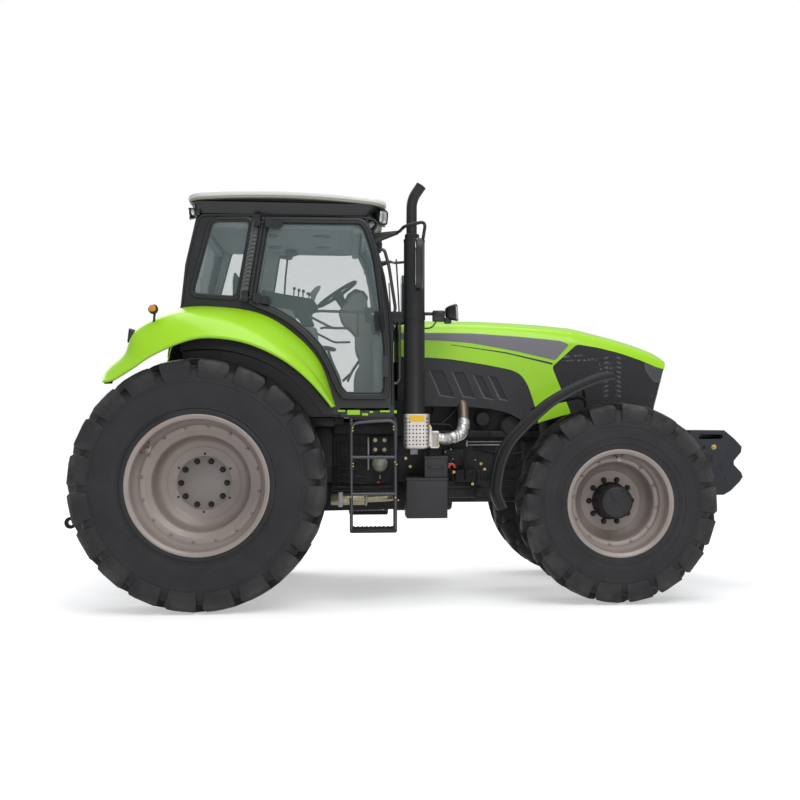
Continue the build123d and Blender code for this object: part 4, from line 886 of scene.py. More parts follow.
for x in (3.128, 3.2345):
    for k in range(18):
        z = 1.5 + 0.022 * k
        if z < 1.862 - 0.1 * (x - 3.1):
            lathe(bm, [(0, 0.0), (0, 0.026), (0.01, 0.03), (0.012, 0.018), (0.019, 0.018),
                (0.019, 0.0)], (x, -0.352, z), UP, 14)
piece("intake_pipe", bm, "pale_metal", slot="shield_steel")
bm = bmesh.new()
for k, (x, z) in enumerate(((1.76, 1.735), (1.8, 1.7), (1.86, 1.66), (1.93, 1.715), (2.06, 1.7),
        (2.12, 1.745), (2.19, 1.69), (2.24, 1.655), (1.9, 1.62), (2.01, 1.735))):
    tube(bm, [(x, -0.34, z), (x + 0.012, -0.355, z - 0.022), (x + 0.034, -0.34, z - 0.012)], 0.007,
        0.01, 8)
    bolt(bm, (x + 0.03, -0.345, z + 0.012), OUT, 0.007, 0.006)
for k in range(5):
    tube(bm, [(2.74 + 0.05 * k, -0.345, 1.5 + 0.03 * k), (2.79 + 0.03 * k, -0.36, 1.7),
        (2.86 + 0.03 * k, -0.345, 1.8)], 0.006, 0.03, 8)
piece("engine_lines", bm, "pale_metal", slot="shield_steel")

# ---------------------------------------------------------------- front mudguards
GUARD = [(3.025, 1.73), (2.92, 1.712), (2.745, 1.642), (2.569, 1.544), (2.453, 1.452),
    (2.338, 1.343), (2.235, 1.23), (2.165, 1.09), (2.13, 0.917), (2.13, 0.822), (2.176, 0.712)]
GUARD_SECTION = [  # (distance from the middle, outside the sheet's line)
    (0.822, -0.03), (0.822, -0.006), (0.83, 0.001), (0.862, 0.006), (0.94, 0.01),
    (1.088, 0.008), (1.116, 0.003), (1.127, -0.007), (1.13, -0.022), (1.13, -0.056),
    (1.1235, -0.056), (1.1225, -0.022), (1.116, -0.01), (1.085, -0.001), (0.94, 0.004),
    (0.862, -0.002), (0.833, -0.008), (0.829, -0.03)]


def guard_ring(line, k, section):
    """One section of the mudguard, square to its line and outside it."""
    ahead = (line[min(k + 1, len(line) - 1)] - line[max(k - 1, 0)]).normalized()
    out = Vector((ahead.y, -ahead.x)) * (1 if line[0].x > line[-1].x else -1)
    if out.dot(line[k] - Vector((front_axle.x - X0, front_axle.z))) < 0:
        out = -out
    return [at(line[k].x + out.x * d, -y, line[k].y + out.y * d) for y, d in section]


guard_line = spline(GUARD, 6)
bm = bmesh.new()
loft(bm, [guard_ring(guard_line, k, GUARD_SECTION) for k in range(len(guard_line))])
pair("guard_sheet", bm, "soft_black", "knuckle_{}", slot="panel_dark", smooth=40,
    replaces=["front_mudguard_{}"])
bm = bmesh.new()
rib = [(1.06, 0.006), (1.06, 0.012), (1.064, 0.016), (1.072, 0.016), (1.076, 0.012),
    (1.076, 0.006)]
loft(bm, [guard_ring(guard_line, k, rib) for k in range(3, len(guard_line) - 1)])
rim_line = [(1.1285, -0.056), (1.1365, -0.053), (1.1385, -0.046), (1.1365, -0.039),
    (1.1285, -0.037)]
loft(bm, [guard_ring(guard_line, k, rim_line) for k in range(len(guard_line))])
pair("mudguard_edge", bm, "panel_dark", "knuckle_{}")
stay_y = -0.675
bm = bmesh.new()
tube(bm, [(2.975, stay_y, 0.892), (2.975, stay_y, 1.02), (2.89, stay_y, 1.59),
    (2.85, -0.77, 1.655), (2.79, -1.08, 1.66)], 0.016, 0.05, 14)
tube(bm, [(2.905, stay_y, 1.53), (2.83, -0.8, 1.56), (2.56, -0.9, 1.5), (2.48, -1.06, 1.468)],
    0.014, 0.05, 12)
box(bm, (2.93, stay_y - 0.012, 0.885), (3.02, stay_y + 0.012, 0.99), 0.004)
for x, z in ((2.8, 1.652), (2.48, 1.468)):
    box(bm, (x - 0.035, -1.075, z - 0.004), (x + 0.035, -0.83, z + 0.008), 0.003)
pair("mudguard_stay", bm, "chassis_grey", "knuckle_{}")

# ---------------------------------------------------------------- rear fenders
FENDER = [  # (distance from the middle, line from the tail to the front foot)
    (0.831, [(-0.682, 1.672), (-0.642, 1.76), (-0.52, 1.872), (-0.442, 2.08), (-0.18, 2.203),
             (0.13, 2.215), (0.43, 2.163), (0.68, 2.006), (0.86, 1.797), (0.968, 1.475)]),
    (1.1, [(-0.674, 1.668), (-0.636, 1.748), (-0.525, 1.85), (-0.442, 2.01), (-0.18, 2.126),
             (0.1, 2.125), (0.385, 2.05), (0.63, 1.905), (0.82, 1.705), (0.952, 1.475)]),
    (1.24, [(-0.652, 1.65), (-0.585, 1.668), (-0.455, 1.75), (-0.31, 1.848), (-0.085, 1.948),
             (0.1, 1.974), (0.345, 1.937), (0.6, 1.822), (0.8, 1.662), (0.9585, 1.475)])]


FENDER_MIDDLE = Vector((0.02, 0.905))


def fender_point(rows, index, y):
    """A point of the fender's skin: index runs along it, y is its distance out."""
    (y0, a), (y1, b), (y2, c) = rows
    if y > y1:
        y0, a, y1, b = y1, b, y2, c
    t = (y - y0) / (y1 - y0)
    bulge = 0.01 * sin(pi * t)
    p = a[index].lerp(b[index], t)
    return p + (p - FENDER_MIDDLE).normalized() * bulge


def fender_inside(rows, index, section):
    """Points under the skin: section is (distance out, depth under the skin)."""
    for y, depth in section:
        p = fender_point(rows, index, y)
        inward = (FENDER_MIDDLE - p).normalized()
        yield at(p.x + inward.x * depth, -y, p.y + inward.y * depth)


rows = [(y, spline(line, 7)) for y, line in FENDER]
across = [0.831, 0.9, 0.98, 1.04, 1.075, 1.092, 1.104, 1.12, 1.15, 1.185, 1.215, 1.234, 1.24]
bm = bmesh.new()
rings = []
for i in range(len(rows[0][1])):
    skin, inside = [], []
    for y in across:
        p = fender_point(rows, i, y)
        if 1.08 < y < 1.13:
            p = (p * 2 + fender_point(rows, i, y - 0.03) + fender_point(rows, i, y + 0.03)) / 4
        q = p + (FENDER_MIDDLE - p).normalized() * 0.014
        skin.append(at(p.x, -y, p.y))
        inside.append(at(q.x, -(y - (0.012 if y > 1.1 else 0.0)), q.y))
    p = fender_point(rows, i, 1.24)
    inward = (FENDER_MIDDLE - p).normalized()
    lip = [at(p.x + inward.x * a, -y, p.y + inward.y * a) for y,
        a in ((1.239, 0.01), (1.232, 0.018), (1.218, 0.02))]
    rings.append(skin + lip + inside[-2::-1])
loft(bm, rings)
pair("fender_skin", bm, "body_green", smooth=34, replaces=["rear_fender_{}"])
# A near-black sheet just under the green fender skin: painted shade where the fender's underside
# faces away from the light.
bm = bmesh.new()
loft(bm, [list(fender_inside(rows, i, ((1.226, 0.022), (1.226, 0.034), (0.835, 0.038),
    (0.835, 0.016), (1.09, 0.018)))) for i in range(0, len(rows[0][1]), 2)])
pair("fender_underside_shade", bm, "under_fender_shade", slot="panel_dark")

# ---------------------------------------------------------------- roof
def roof_edge(x):
    """The roof edge's underside height along the cab: it falls away from its highest station."""
    away, fall, reach = x - 0.56, *((0.05, 0.78) if x > 0.56 else (0.03, 0.68))
    return 3.034 - fall * (away / reach) ** 2


def roof_outline(sides=12, longest=0.09):
    """(x, y) points round the roof's edge, its long runs divided."""
    x0, x1, half, corner = -0.127, 1.351, 0.845, 0.13
    ring = []
    for cx, cy, start in ((x1 - corner, half - corner, 0), (x0 + corner, half - corner, 90),
            (x0 + corner, -half + corner, 180), (x1 - corner, -half + corner, 270)):
        for k in range(sides + 1):
            angle = radians(start + 90 * k / sides)
            ring.append((cx + corner * cos(angle), cy + corner * sin(angle)))
    long = []
    for (px, py), (qx, qy) in zip(ring, ring[1:] + ring[:1]):
        steps = max(1, int(hypot(qx - px, qy - py) / longest))
        shares = [k / steps for k in range(steps)]
        long += [(px + (qx - px) * t, py + (qy - py) * t) for t in shares]
    return long


def roof_rings(table):
    """Rings from (inset, rise) rows; the outline shrinks about the roof's middle."""
    middle, half_long, half_wide = 0.612, 0.739, 0.845
    rings = []
    for inset, rise in table:
        along, wide = 1 - inset / half_long, 1 - inset / half_wide
        ring = [(middle + (x - middle) * along, y * wide) for x, y in roof_outline()]
        rings.append([at(x, y, roof_edge(x) + rise) for x, y in ring])
    return rings


bm = bmesh.new()
loft(bm, roof_rings([(0.1, 0.012), (0.012, 0.014), (0.003, 0.017), (0.0, 0.024), (0.001, 0.04),
    (0.006, 0.05), (0.018, 0.057), (0.045, 0.062), (0.12, 0.068), (0.26, 0.077), (0.45, 0.084),
    (0.6, 0.088), (0.7, 0.089)]))
piece("roof_shell", bm, "roof_white", smooth=50, replaces=["roof_cap"])
# The band under the roof's edge, in the darker copy of the roof's white: painted shade.
bm = bmesh.new()
loft(bm, roof_rings([(0.13, -0.004), (0.02, -0.002), (0.01, 0.001), (0.007, 0.008), (0.008, 0.016),
    (0.14, 0.018)]))
piece("shaded_roof_lip", bm, "shaded_roof_lip", slot="roof_white", smooth=40)

# ---------------------------------------------------------------- cab trims and doors
LEAN, SILL_Y, SILL_Z = 0.0401, -0.83, 1.47  # the side wall leans in from its sill
WALL_OUT = Vector((0, -1, LEAN)).normalized()


def wall(x, z, d):
    """A point on the cab's right wall, d outside it."""
    return at(x, SILL_Y + LEAN * (z - SILL_Z), z) + WALL_OUT * d


DOOR = [(0.418, 2.892), (1.165, 2.898), (1.222, 2.838), (1.272, 2.69), (1.3, 2.553), (1.336, 2.27),
    (1.372, 1.931), (1.372, 1.6), (1.345, 1.532), (1.018, 1.532), (0.968, 1.6), (0.905, 1.76),
    (0.835, 1.885), (0.74, 1.996), (0.622, 2.096), (0.5, 2.166), (0.376, 2.214), (0.318, 2.25)]
DOOR_PANE = [(0.462, 2.858), (1.15, 2.862), (1.186, 2.822), (1.236, 2.68), (1.264, 2.55),
    (1.3, 2.268), (1.336, 1.93), (1.336, 1.618), (1.322, 1.57), (1.04, 1.57), (1.0, 1.622),
    (0.938, 1.778), (0.866, 1.908), (0.766, 2.024), (0.642, 2.128), (0.514, 2.202), (0.4, 2.25),
    (0.368, 2.276)]
QUARTER = [(0.052, 2.872), (-0.097, 2.308), (0.245, 2.286), (0.348, 2.88)]
BEAD = [(-0.002, 0.0), (0.0, 0.007), (0.006, 0.011), (0.014, 0.012), (0.021, 0.01), (0.025, 0.004),
    (0.026, -0.004)]
bm = bmesh.new()
strip(bm, DOOR, wall, 0.05, [(a, 0.031 + d) for a, d in BEAD])
strip(bm, DOOR_PANE, wall, 0.045, [(a - 0.02, 0.029 + d * 0.7) for a, d in BEAD])
pair("door_bead", bm, "cab_dark", "door_{}", smooth=40)
bm = bmesh.new()
strip(bm, DOOR_PANE, wall, 0.05, [(-0.004, 0.016), (-0.002, 0.033), (0.004, 0.0345),
    (0.012, 0.028), (0.014, 0.0166)])
pair("door_seal", bm, "soft_black", "door_{}", slot="cab_dark", smooth=40)
bm = bmesh.new()
strip(bm, QUARTER, wall, 0.06, [(a - 0.022, d) for a, d in BEAD])
strip(bm, QUARTER, wall, 0.06, [(-0.002, -0.012), (0.0, 0.003), (0.008, 0.004), (0.016, -0.002),
    (0.018, -0.012)])
CAB_EDGE = [(0.01, 2.905), (1.176, 2.908), (1.248, 2.764), (1.322, 2.47), (1.368, 2.2),
    (1.39, 1.842), (1.394, 1.49)]
for edge in (CAB_EDGE, [(0.01, 2.905), (-0.048, 2.86), (-0.125, 2.532), (-0.16, 2.235)]):
    tube(bm, spline([wall(x, z, 0.004) for x, z in edge], 5), 0.009, 0, 10)
pair("cab_bead", bm, "cab_dark", smooth=40)


def strip_x(z):
    """The station of the rear pillar's ribbed strip."""
    return 0.3 + (z - 2.38) * 0.164


bm = bmesh.new()
fill(bm, [(strip_x(2.275) - 0.026, 2.275), (strip_x(2.275) + 0.026, 2.275),
    (strip_x(2.885) + 0.026, 2.885), (strip_x(2.885) - 0.026, 2.885)], wall, -0.002, 0.012, 0.006)
for k in range(15):
    z = 2.375 + 0.03 * k
    x = strip_x(z)
    tube(bm, [wall(x + 0.023 * cos(t) + 0.002, z + 0.014 * sin(t) + 0.006 * cos(t),
        0.015 + 0.005 * sin(t)) for t in (pi * j / 8 for j in range(9))], 0.0066, 0, 8)
pair("pillar_ribs", bm, "rib_grey", smooth=40, slot="cab_dark")
HINGES = ((0.43, 2.862), (0.342, 2.298))
bm = bmesh.new()
for x, z in HINGES:
    fill(bm, [(x - 0.066, z - 0.046), (x - 0.018, z - 0.046), (x - 0.018, z + 0.04),
        (x - 0.066, z + 0.04)], wall, 0.006, 0.064, 0.01)
    for dx, dz in ((-0.055, 0.026), (-0.055, -0.032), (-0.03, 0.026), (-0.03, -0.032)):
        bolt(bm, wall(x + dx, z + dz, 0.064), WALL_OUT, 0.0075, 0.007)
pair("hinge_plates", bm, "cab_dark")
bm = bmesh.new()
for x, z in HINGES:
    fill(bm, [(x + 0.016, z + 0.006), (x + 0.12, z - 0.002), (x + 0.15, z - 0.016),
        (x + 0.152, z - 0.046), (x + 0.13, z - 0.064), (x + 0.016, z - 0.048)], wall, 0.046, 0.062,
        0.018)
    fill(bm, [(x + 0.06, z - 0.012), (x + 0.13, z - 0.018), (x + 0.13, z - 0.048),
        (x + 0.06, z - 0.042)], wall, 0.03, 0.05, 0.01)
    for dx in (0.075, 0.125):
        bolt(bm, wall(x + dx, z - 0.03, 0.062), WALL_OUT, 0.007, 0.005)
pair("hinge_leaves", bm, "cab_dark", "door_{}")

# Latch, its lock, the grab loop behind the glass and the outside handle.
bm = bmesh.new()
fill(bm, [(1.18, 2.224), (1.262, 2.228), (1.29, 2.215), (1.312, 2.15), (1.322, 2.03),
    (1.236, 2.026), (1.226, 2.11), (1.19, 2.124)], wall, -0.04, 0.01, 0.014)
fill(bm, [(1.255, 2.19), (1.322, 2.196), (1.334, 2.05), (1.268, 2.044)], wall, 0.03, 0.048, 0.016)
tube(bm, [wall(1.3, 2.165, 0.046), wall(1.3, 2.15, 0.064), wall(1.308, 2.085, 0.064),
    wall(1.309, 2.068, 0.046)], 0.009, 0.015, 12)
pair("door_latch", bm, "soft_black", "door_{}", slot="lamp_plastic")
bm = bmesh.new()
lathe(bm, [(0, 0), (0, 0.0095), (0.004, 0.009), (0.005, 0.006), (0.004, 0.0)],
    wall(1.246, 2.176, 0.0095), WALL_OUT, 20)
pair("door_lock", bm, "pale_metal", "door_{}", slot="shield_steel")
bm = bmesh.new()
tube(bm, [wall(1.19, 2.197, -0.03), wall(1.133, 2.197, -0.045), wall(0.85, 2.203, -0.045),
    wall(0.826, 2.196, -0.03)], 0.0105, 0.02, 12)
tube(bm, [wall(0.771, 2.162, -0.04), wall(0.945, 2.073, -0.045), wall(1.085, 2.077, -0.045)],
    0.0095, 0.03, 12)
tube(bm, [wall(1.133, 2.2, -0.045), wall(1.133, 2.01, -0.045)], 0.0085, 0, 10)
pair("door_grab", bm, "satin_tube", "door_{}", slot="cab_dark")

# ---------------------------------------------------------------- mirrors, rails and lamps
bm = bmesh.new()
tube(bm, [(1.235, -0.752, 2.76), (1.442, -0.8, 2.797), (1.476, -1.0, 2.812),
    (1.628, -1.072, 2.838), (1.606, -1.078, 2.7)], 0.012, 0.05, 14)
loft(bm, [[at(x, y + cos(t) * r, z + sin(t) * h) for t in around(16)] for x, y, z, r,
    h in ((1.205, -0.77, 2.73, 0.02, 0.052), (1.255, -0.79, 2.742, 0.019, 0.046),
    (1.32, -0.8, 2.765, 0.018, 0.032), (1.405, -0.8, 2.788, 0.016, 0.02),
    (1.44, -0.802, 2.796, 0.014, 0.014))])
loft(bm, [[at(x, -1.08 + u, 2.518 + v) for u, v in oval(w, h, 0.45, 0.4, 40)] for x, w,
    h in ((1.549, 0.094, 0.176), (1.552, 0.1045, 0.188), (1.572, 0.1075, 0.192),
    (1.594, 0.102, 0.186), (1.606, 0.08, 0.164), (1.611, 0.04, 0.12))])
pair("mirror", bm, "lamp_plastic", smooth=40, replaces=["mirrors"])
bm = bmesh.new()
plate(bm, oval(0.09, 0.168, 0.45, 0.4, 40), (at(1.5495, -1.08, 2.518), (0, 1, 0), UP), -0.003)
pair("mirror_glass", bm, "mirror_glass", slot="glass_clear")
bm = bmesh.new()
tube(bm, [(1.272, -0.745, 2.655), (1.29, -0.765, 2.672), (1.335, -0.772, 2.668),
    (1.368, -0.774, 2.548), (1.418, -0.778, 2.224), (1.405, -0.772, 2.175)], 0.0125, 0.03, 14)
tube(bm, [(1.392, -0.77, 2.13), (1.389, -0.785, 1.9), (1.389, -0.79, 1.67), (1.419, -0.79, 1.65),
    (1.45, -0.79, 1.684), (1.45, -0.785, 2.15)], 0.0105, 0.03, 14)
tube(bm, [(1.425, -0.745, 2.6), (1.44, -0.752, 2.35), (1.448, -0.75, 2.18)], 0.006, 0.05, 8)
pair("handrail", bm, "satin_tube", slot="cab_dark", replaces=["handrails"])


def lamp(body, lens, centre, facing, wide, tall, deep, shape=0.5, glass=0.84):
    """A work lamp: a rounded shell behind a rim with a lens let into it."""
    facing = Vector(facing).normalized()
    u, v = basis(facing)
    centre = spot(centre)

    def rings(*rows):
        return [[centre + facing * d + u * a + v * b for a, b in
                 oval(wide / 2 * grow, tall / 2 * grow, shape, shape, 28)] for d, grow in rows]

    loft(body, rings((-deep, 0.45), (-deep * 0.93, 0.62), (-deep * 0.6, 0.84),
        (-deep * 0.25, 0.96), (-0.006, 1.0), (0.0, 0.985), (0.0, glass + 0.04), (-0.006, glass)))
    loft(lens, rings((-0.01, glass + 0.02), (-0.005, glass), (0.0, glass * 0.8),
        (0.003, glass * 0.4), (0.0035, 0.05)))


body, lens, red, amber = bmesh.new(), bmesh.new(), bmesh.new(), bmesh.new()
lamp(body, lens, (1.345, -0.62, 2.925), (1, -0.12, -0.1), 0.15, 0.115, 0.1)
lamp(body, lens, (1.33, -0.76, 2.915), (0.72, -0.68, -0.1), 0.1, 0.115, 0.085)
box(body, (1.215, -0.7, 2.895), (1.3, -0.56, 2.985), 0.02, 3)
tube(body, [(1.26, -0.75, 2.985), (1.3, -0.765, 2.935), (1.28, -0.72, 2.87), (1.24, -0.7, 2.83)],
    0.01, 0.04, 10)
lamp(body, lens, (-0.132, -0.635, 2.935), (-1, -0.15, -0.12), 0.12, 0.085, 0.075)
lamp(body, lens, (-0.09, -0.77, 2.925), (-0.8, -0.6, -0.25), 0.06, 0.06, 0.055, 0.9)
box(body, (-0.075, -0.8, 2.895), (-0.03, -0.7, 2.985), 0.012)
# The lamp beside the bonnet on its bent arm, with its cable.
lamp(body, lens, (1.893, -0.712, 2.205), (1, -0.25, 0.05), 0.11, 0.13, 0.09)
tube(body, [(1.352, -0.68, 2.12), (1.5, -0.672, 2.12), (1.6, -0.672, 2.196), (1.74, -0.68, 2.196)],
    0.013, 0.05, 12)
boxes(body, (1.705, -0.715, 2.135, 1.8, -0.655, 2.22, 0.01),
    (1.795, -0.725, 2.12, 1.85, -0.665, 2.165, 0.008))
tube(body, [(1.735, -0.72, 2.14), (1.7, -0.735, 2.085), (1.64, -0.73, 2.075), (1.585, -0.7, 2.11),
    (1.56, -0.68, 2.15)], 0.006, 0.04, 8)
# The fender's stalk lamp.
lathe(body, [(-0.04, 0), (-0.038, 0.02), (-0.022, 0.033), (0.006, 0.036), (0.03, 0.03),
    (0.044, 0.016), (0.048, 0)], (-0.322, -1.1, 2.168), (0, -1, 0.1), 28)
plug(body, -0.02, 0.05, 0.009, (-0.318, -1.085, 2.095), (0.1, 0, 1), 12)
lathe(amber, [(0.0, 0), (0.0, 0.026), (0.012, 0.022), (0.016, 0.0)], (-0.322, -1.142, 2.172),
    (0, -1, 0.1), 24)
# The tail lamps on the fenders' ends.
lamp(body, red, (-0.508, -1.01, 1.985), (-1, -0.05, 0.12), 0.085, 0.105, 0.07, 0.4)
lamp(body, amber, (-0.508, -0.93, 1.985), (-1, -0.05, 0.12), 0.06, 0.105, 0.07, 0.4)
pair("lamp_shells", body, "lamp_plastic", smooth=40, replaces=["work_lamps"])
pair("lamp_lenses", lens, "lens_clear", slot="lamp_plastic", smooth=50)
pair("lamp_reds", red, "lens_red", slot="lamp_plastic", smooth=50)
pair("lamp_ambers", amber, "lens_amber", slot="lamp_plastic", smooth=50)

# ---------------------------------------------------------------- exhaust
bm = bmesh.new()
lathe(bm, [(0.0, 0), (0.0, 0.074), (0.006, 0.08), (0.014, 0.081), (0.018, 0.079), (1.296, 0.079),
    (1.302, 0.081), (1.318, 0.081), (1.326, 0.076), (1.329, 0.06), (1.331, 0.048), (1.331, 0)],
    (1.56, -0.782, 1.424), UP, 72)
lathe(bm, [(0, 0.0), (0, 0.052), (0.005, 0.055), (0.03, 0.055), (0.034, 0.05), (0.034, 0)],
    (1.543, -0.782, 2.752), UP, 48)
line = rounded([at(1.54, -0.782, 2.75), at(1.54, -0.782, 3.048), at(1.612, -0.782, 3.155)], 0.1)
tube(bm, line, 0.04, 0, 36)
piece("exhaust_stack", bm, "exhaust_black", smooth=38, replaces=["exhaust"])
bm = bmesh.new()
tip = (line[-1] - line[-2]).normalized()
lathe(bm, [(-0.012, 0.034), (0.0012, 0.034), (0.0015, 0.0405), (-0.012, 0.0405)], line[-1], tip,
    36)
lathe(bm, [(-0.01, 0.0), (-0.01, 0.0335), (0.0022, 0.0335), (0.0018, 0.0)], line[-1], tip, 36)
piece("exhaust_mouth", bm, "soft_black", slot="exhaust_black")
bm = bmesh.new()
band_path = rounded([at(1.742, -0.745, 1.238), at(1.8, -0.735, 1.232), at(1.925, -0.69, 1.262),
    at(1.962, -0.56, 1.348), at(1.965, -0.45, 1.372)], 0.09)
steps = spline(band_path, 3)
radii = [0.043 + 0.0035 * sin(k * 1.9) + 0.002 * sin(k * 4.3) for k in range(len(steps))]
tube(bm, steps, radii, 0, 24)
piece("foil_elbow", bm, "foil", slot="shield_steel", smooth=60)
bm = bmesh.new()
tube(bm, [(1.965, -0.462, 1.345), (1.967, -0.45, 1.4), (1.967, -0.4, 1.515), (1.967, -0.3, 1.53)],
    0.046, 0.04, 28)
for z in (1.362, 1.378):
    lathe(bm, [(-0.006, 0.045), (-0.004, 0.052), (0.004, 0.052), (0.006, 0.045)],
        (1.966, -0.456, z), (0, 0.15, 1), 28)
piece("steel_riser", bm, "steel_pipe", slot="exhaust_black", smooth=50)
# The perforated shield round the stack's foot, with its finned outlet and a blank plate.
bm = bmesh.new()
profile = closed_round([(1.477, -0.7), (1.477, -0.866), (1.676, -0.866), (1.676, -0.7)], 0.045)
loft(bm, [[at(p.x, p.y, z) for p in profile] for z in (1.196, 1.425)])
swell(bm, profile, (1.5765, -0.783), ((1.16, 0.78), (1.17, 0.93), (1.184, 0.985), (1.196, 1.0)),
    "z")
boxes(bm, (1.676, -0.86, 1.165, 1.744, -0.7, 1.298, 0.01),
    (1.668, -0.868, 1.18, 1.688, -0.7, 1.33, 0.004), (1.56, -0.7, 1.18, 1.6, -0.238, 1.23, 0.006))
piece("stack_shield", bm, "shield_steel", replaces=["heat_shield"], smooth=35)
bm = bmesh.new()
# The shield's holes and the gaps between the outlet's fins are black discs and strips on its face:
# painted shade.
for column in range(7):
    for row in range(8):
        x, z = 1.4945 + 0.0262 * column, 1.196 + 0.0277 * row
        if row < 6 or not 1 < column < 6:
            plug(bm, -0.002, 0.0012, 0.0062, (x, -0.866, z), OUT, 8, pi / 8)
slats(bm, 7, 0.0066, (1.6935, -0.8615, 1.178), (1.6962, -0.859, 1.286), 0)
piece("shield_hole_shade", bm, "soft_black", slot="exhaust_black")
bm = bmesh.new()
box(bm, (1.52, -0.869, 1.367), (1.632, -0.8655, 1.415), 0.0012, 1)
piece("blank_plate", bm, "blank_plate", slot="shield_steel")
bm = bmesh.new()
for x, z in ((1.672, 1.335), (1.672, 1.205), (1.738, 1.185)):
    bolt(bm, (x, -0.868 if x < 1.7 else -0.861, z), OUT, 0.006, 0.005)
piece("shield_bolts", bm, "zinc_yellow", slot="shield_steel")
bm = bmesh.new()
lathe(bm, [(0.0, 0.079), (0.0, 0.0835), (0.042, 0.0835), (0.042, 0.079)], (1.56, -0.782, 2.138),
    UP, 48)
boxes(bm, (1.372, -0.8, 2.118, 1.49, -0.735, 2.2, 0.01),
    (1.372, -0.79, 2.06, 1.412, -0.75, 2.13, 0.008))
for z in (2.138, 2.18):
    bolt(bm, (1.4, -0.8, z), OUT, 0.008, 0.007)
piece("stack_bracket", bm, "exhaust_black")

# ---------------------------------------------------------------- battery box and fuel tank
bm = bmesh.new()
boxes(bm, (1.498, -0.88, 0.64, 1.806, -0.56, 0.928, 0.006),
    (1.494, -0.884, 0.924, 1.81, -0.556, 0.944, 0.005),
    (1.634, -0.86, 0.943, 1.808, -0.6, 1.092, 0.008),
    (1.63, -0.864, 1.086, 1.812, -0.596, 1.106, 0.006))
tube(bm, [(1.668, -0.858, 1.03), (1.668, -0.884, 1.024), (1.776, -0.884, 1.024),
    (1.776, -0.858, 1.03)], 0.006, 0.012, 10)
for x in (1.668, 1.776):
    box(bm, (x - 0.01, -0.87, 1.02), (x + 0.01, -0.858, 1.048), 0.003)
boxes(bm, (1.58, -0.56, 0.7, 1.64, -0.238, 0.76, 0.006),
    (1.73, -0.56, 0.74, 1.79, -0.238, 0.8, 0.006))
piece("battery_case", bm, "panel_dark", replaces=["battery_box"])
bm = bmesh.new()
arch = [at(1.818 + 0.022 * (1 - cos(t)), -0.85, 1.018 + 0.03 * sin(t))
    for t in (pi * j / 10 for j in range(11))]
tube(bm, arch, 0.009, 0, 12)
piece("red_cap", bm, "tap_red", slot="lamp_plastic")
bm = bmesh.new()
tank = closed_round([(0.3, 0.612), (0.858, 0.612), (0.858, 1.168), (0.3, 1.168)], 0.085)
swell(bm, tank, (0.579, 0.89), ((1.45, 0.9), (1.454, 0.955), (1.468, 0.99), (1.49, 1.0),
    (1.91, 1.0), (1.932, 0.99), (1.946, 0.955), (1.95, 0.9)), "x")
boxes(bm, (1.5, 0.232, 0.78, 1.56, 0.31, 0.84, 0.006),
    (1.85, 0.232, 0.78, 1.91, 0.31, 0.84, 0.006))
piece("tank_shell", bm, "panel_dark", replaces=["fuel_tank"], smooth=45)
bm = bmesh.new()
outline = closed_round([(0.298, 0.609), (0.861, 0.609), (0.861, 1.171), (0.298, 1.171)], 0.087)
inner = closed_round([(0.302, 0.613), (0.857, 0.613), (0.857, 1.167), (0.302, 1.167)], 0.084)
for x in (1.56, 1.8):
    loft(bm, [[at(a, p.x, p.y) for p in line] for a, line in ((x, inner), (x, outline),
        (x + 0.04, outline), (x + 0.04, inner))], joined=True)
lathe(bm, [(-0.01, 0), (-0.01, 0.046), (0.012, 0.046), (0.016, 0.04), (0.03, 0.038), (0.034, 0.03),
    (0.034, 0)], (1.69, 0.7, 1.168), UP, 32)
for t in around(10):
    box(bm, (1.686 + 0.038 * cos(t), 0.696 + 0.038 * sin(t), 1.18),
        (1.694 + 0.038 * cos(t), 0.704 + 0.038 * sin(t), 1.198), 0.002)
piece("tank_straps", bm, "chassis_grey", smooth=40)

# ---------------------------------------------------------------- hubs and weights
bm = bmesh.new()
hub_face = front_axle + OUT * 0.693
lathe(bm, [(0.0, 0), (0.0, 0.19), (0.006, 0.196), (0.03, 0.196), (0.0345, 0.19), (0.036, 0.1365),
    (0.049, 0.1365), (0.056, 0.146), (0.066, 0.144), (0.072, 0.134), (0.16, 0.132), (0.176, 0.135),
    (0.184, 0.131), (0.19, 0.127), (0.27, 0.124), (0.282, 0.121), (0.29, 0.113), (0.2935, 0.1),
    (0.2945, 0.06), (0.2955, 0.0)], hub_face, OUT, 72)
for k in range(4):
    turn = pi * k / 2 + 0.4
    line = [hub_face + OUT * 0.295 + spoke(turn + a) * r for a, r in ((0.0, 0.012), (0.25, 0.03),
        (0.42, 0.055), (0.5, 0.082), (0.5, 0.105))]
    tube(bm, spline(line, 4), 0.0022, 0, 8)
for turn in around(3, 2.5):
    bolt(bm, hub_face + OUT * 0.2945 + spoke(turn) * 0.098, OUT, 0.008, 0.006, washer=False)
pair("front_hub_cap", bm, "hub_black", "front_wheel_{}", smooth=35, replaces=["front_hub_{}"])
bm = bmesh.new()
lathe(bm, [(-0.002, 0), (-0.002, 0.198), (0.002, 0.198), (0.005, 0.194), (0.005, 0)],
    rear_axle + OUT * (REAR_TRACK / 2 - 0.209), OUT, 96)
pair("rear_hub_face", bm, "hub_plate", "rear_wheel_{}", slot="rim_paint", smooth=40)
bm = bmesh.new()
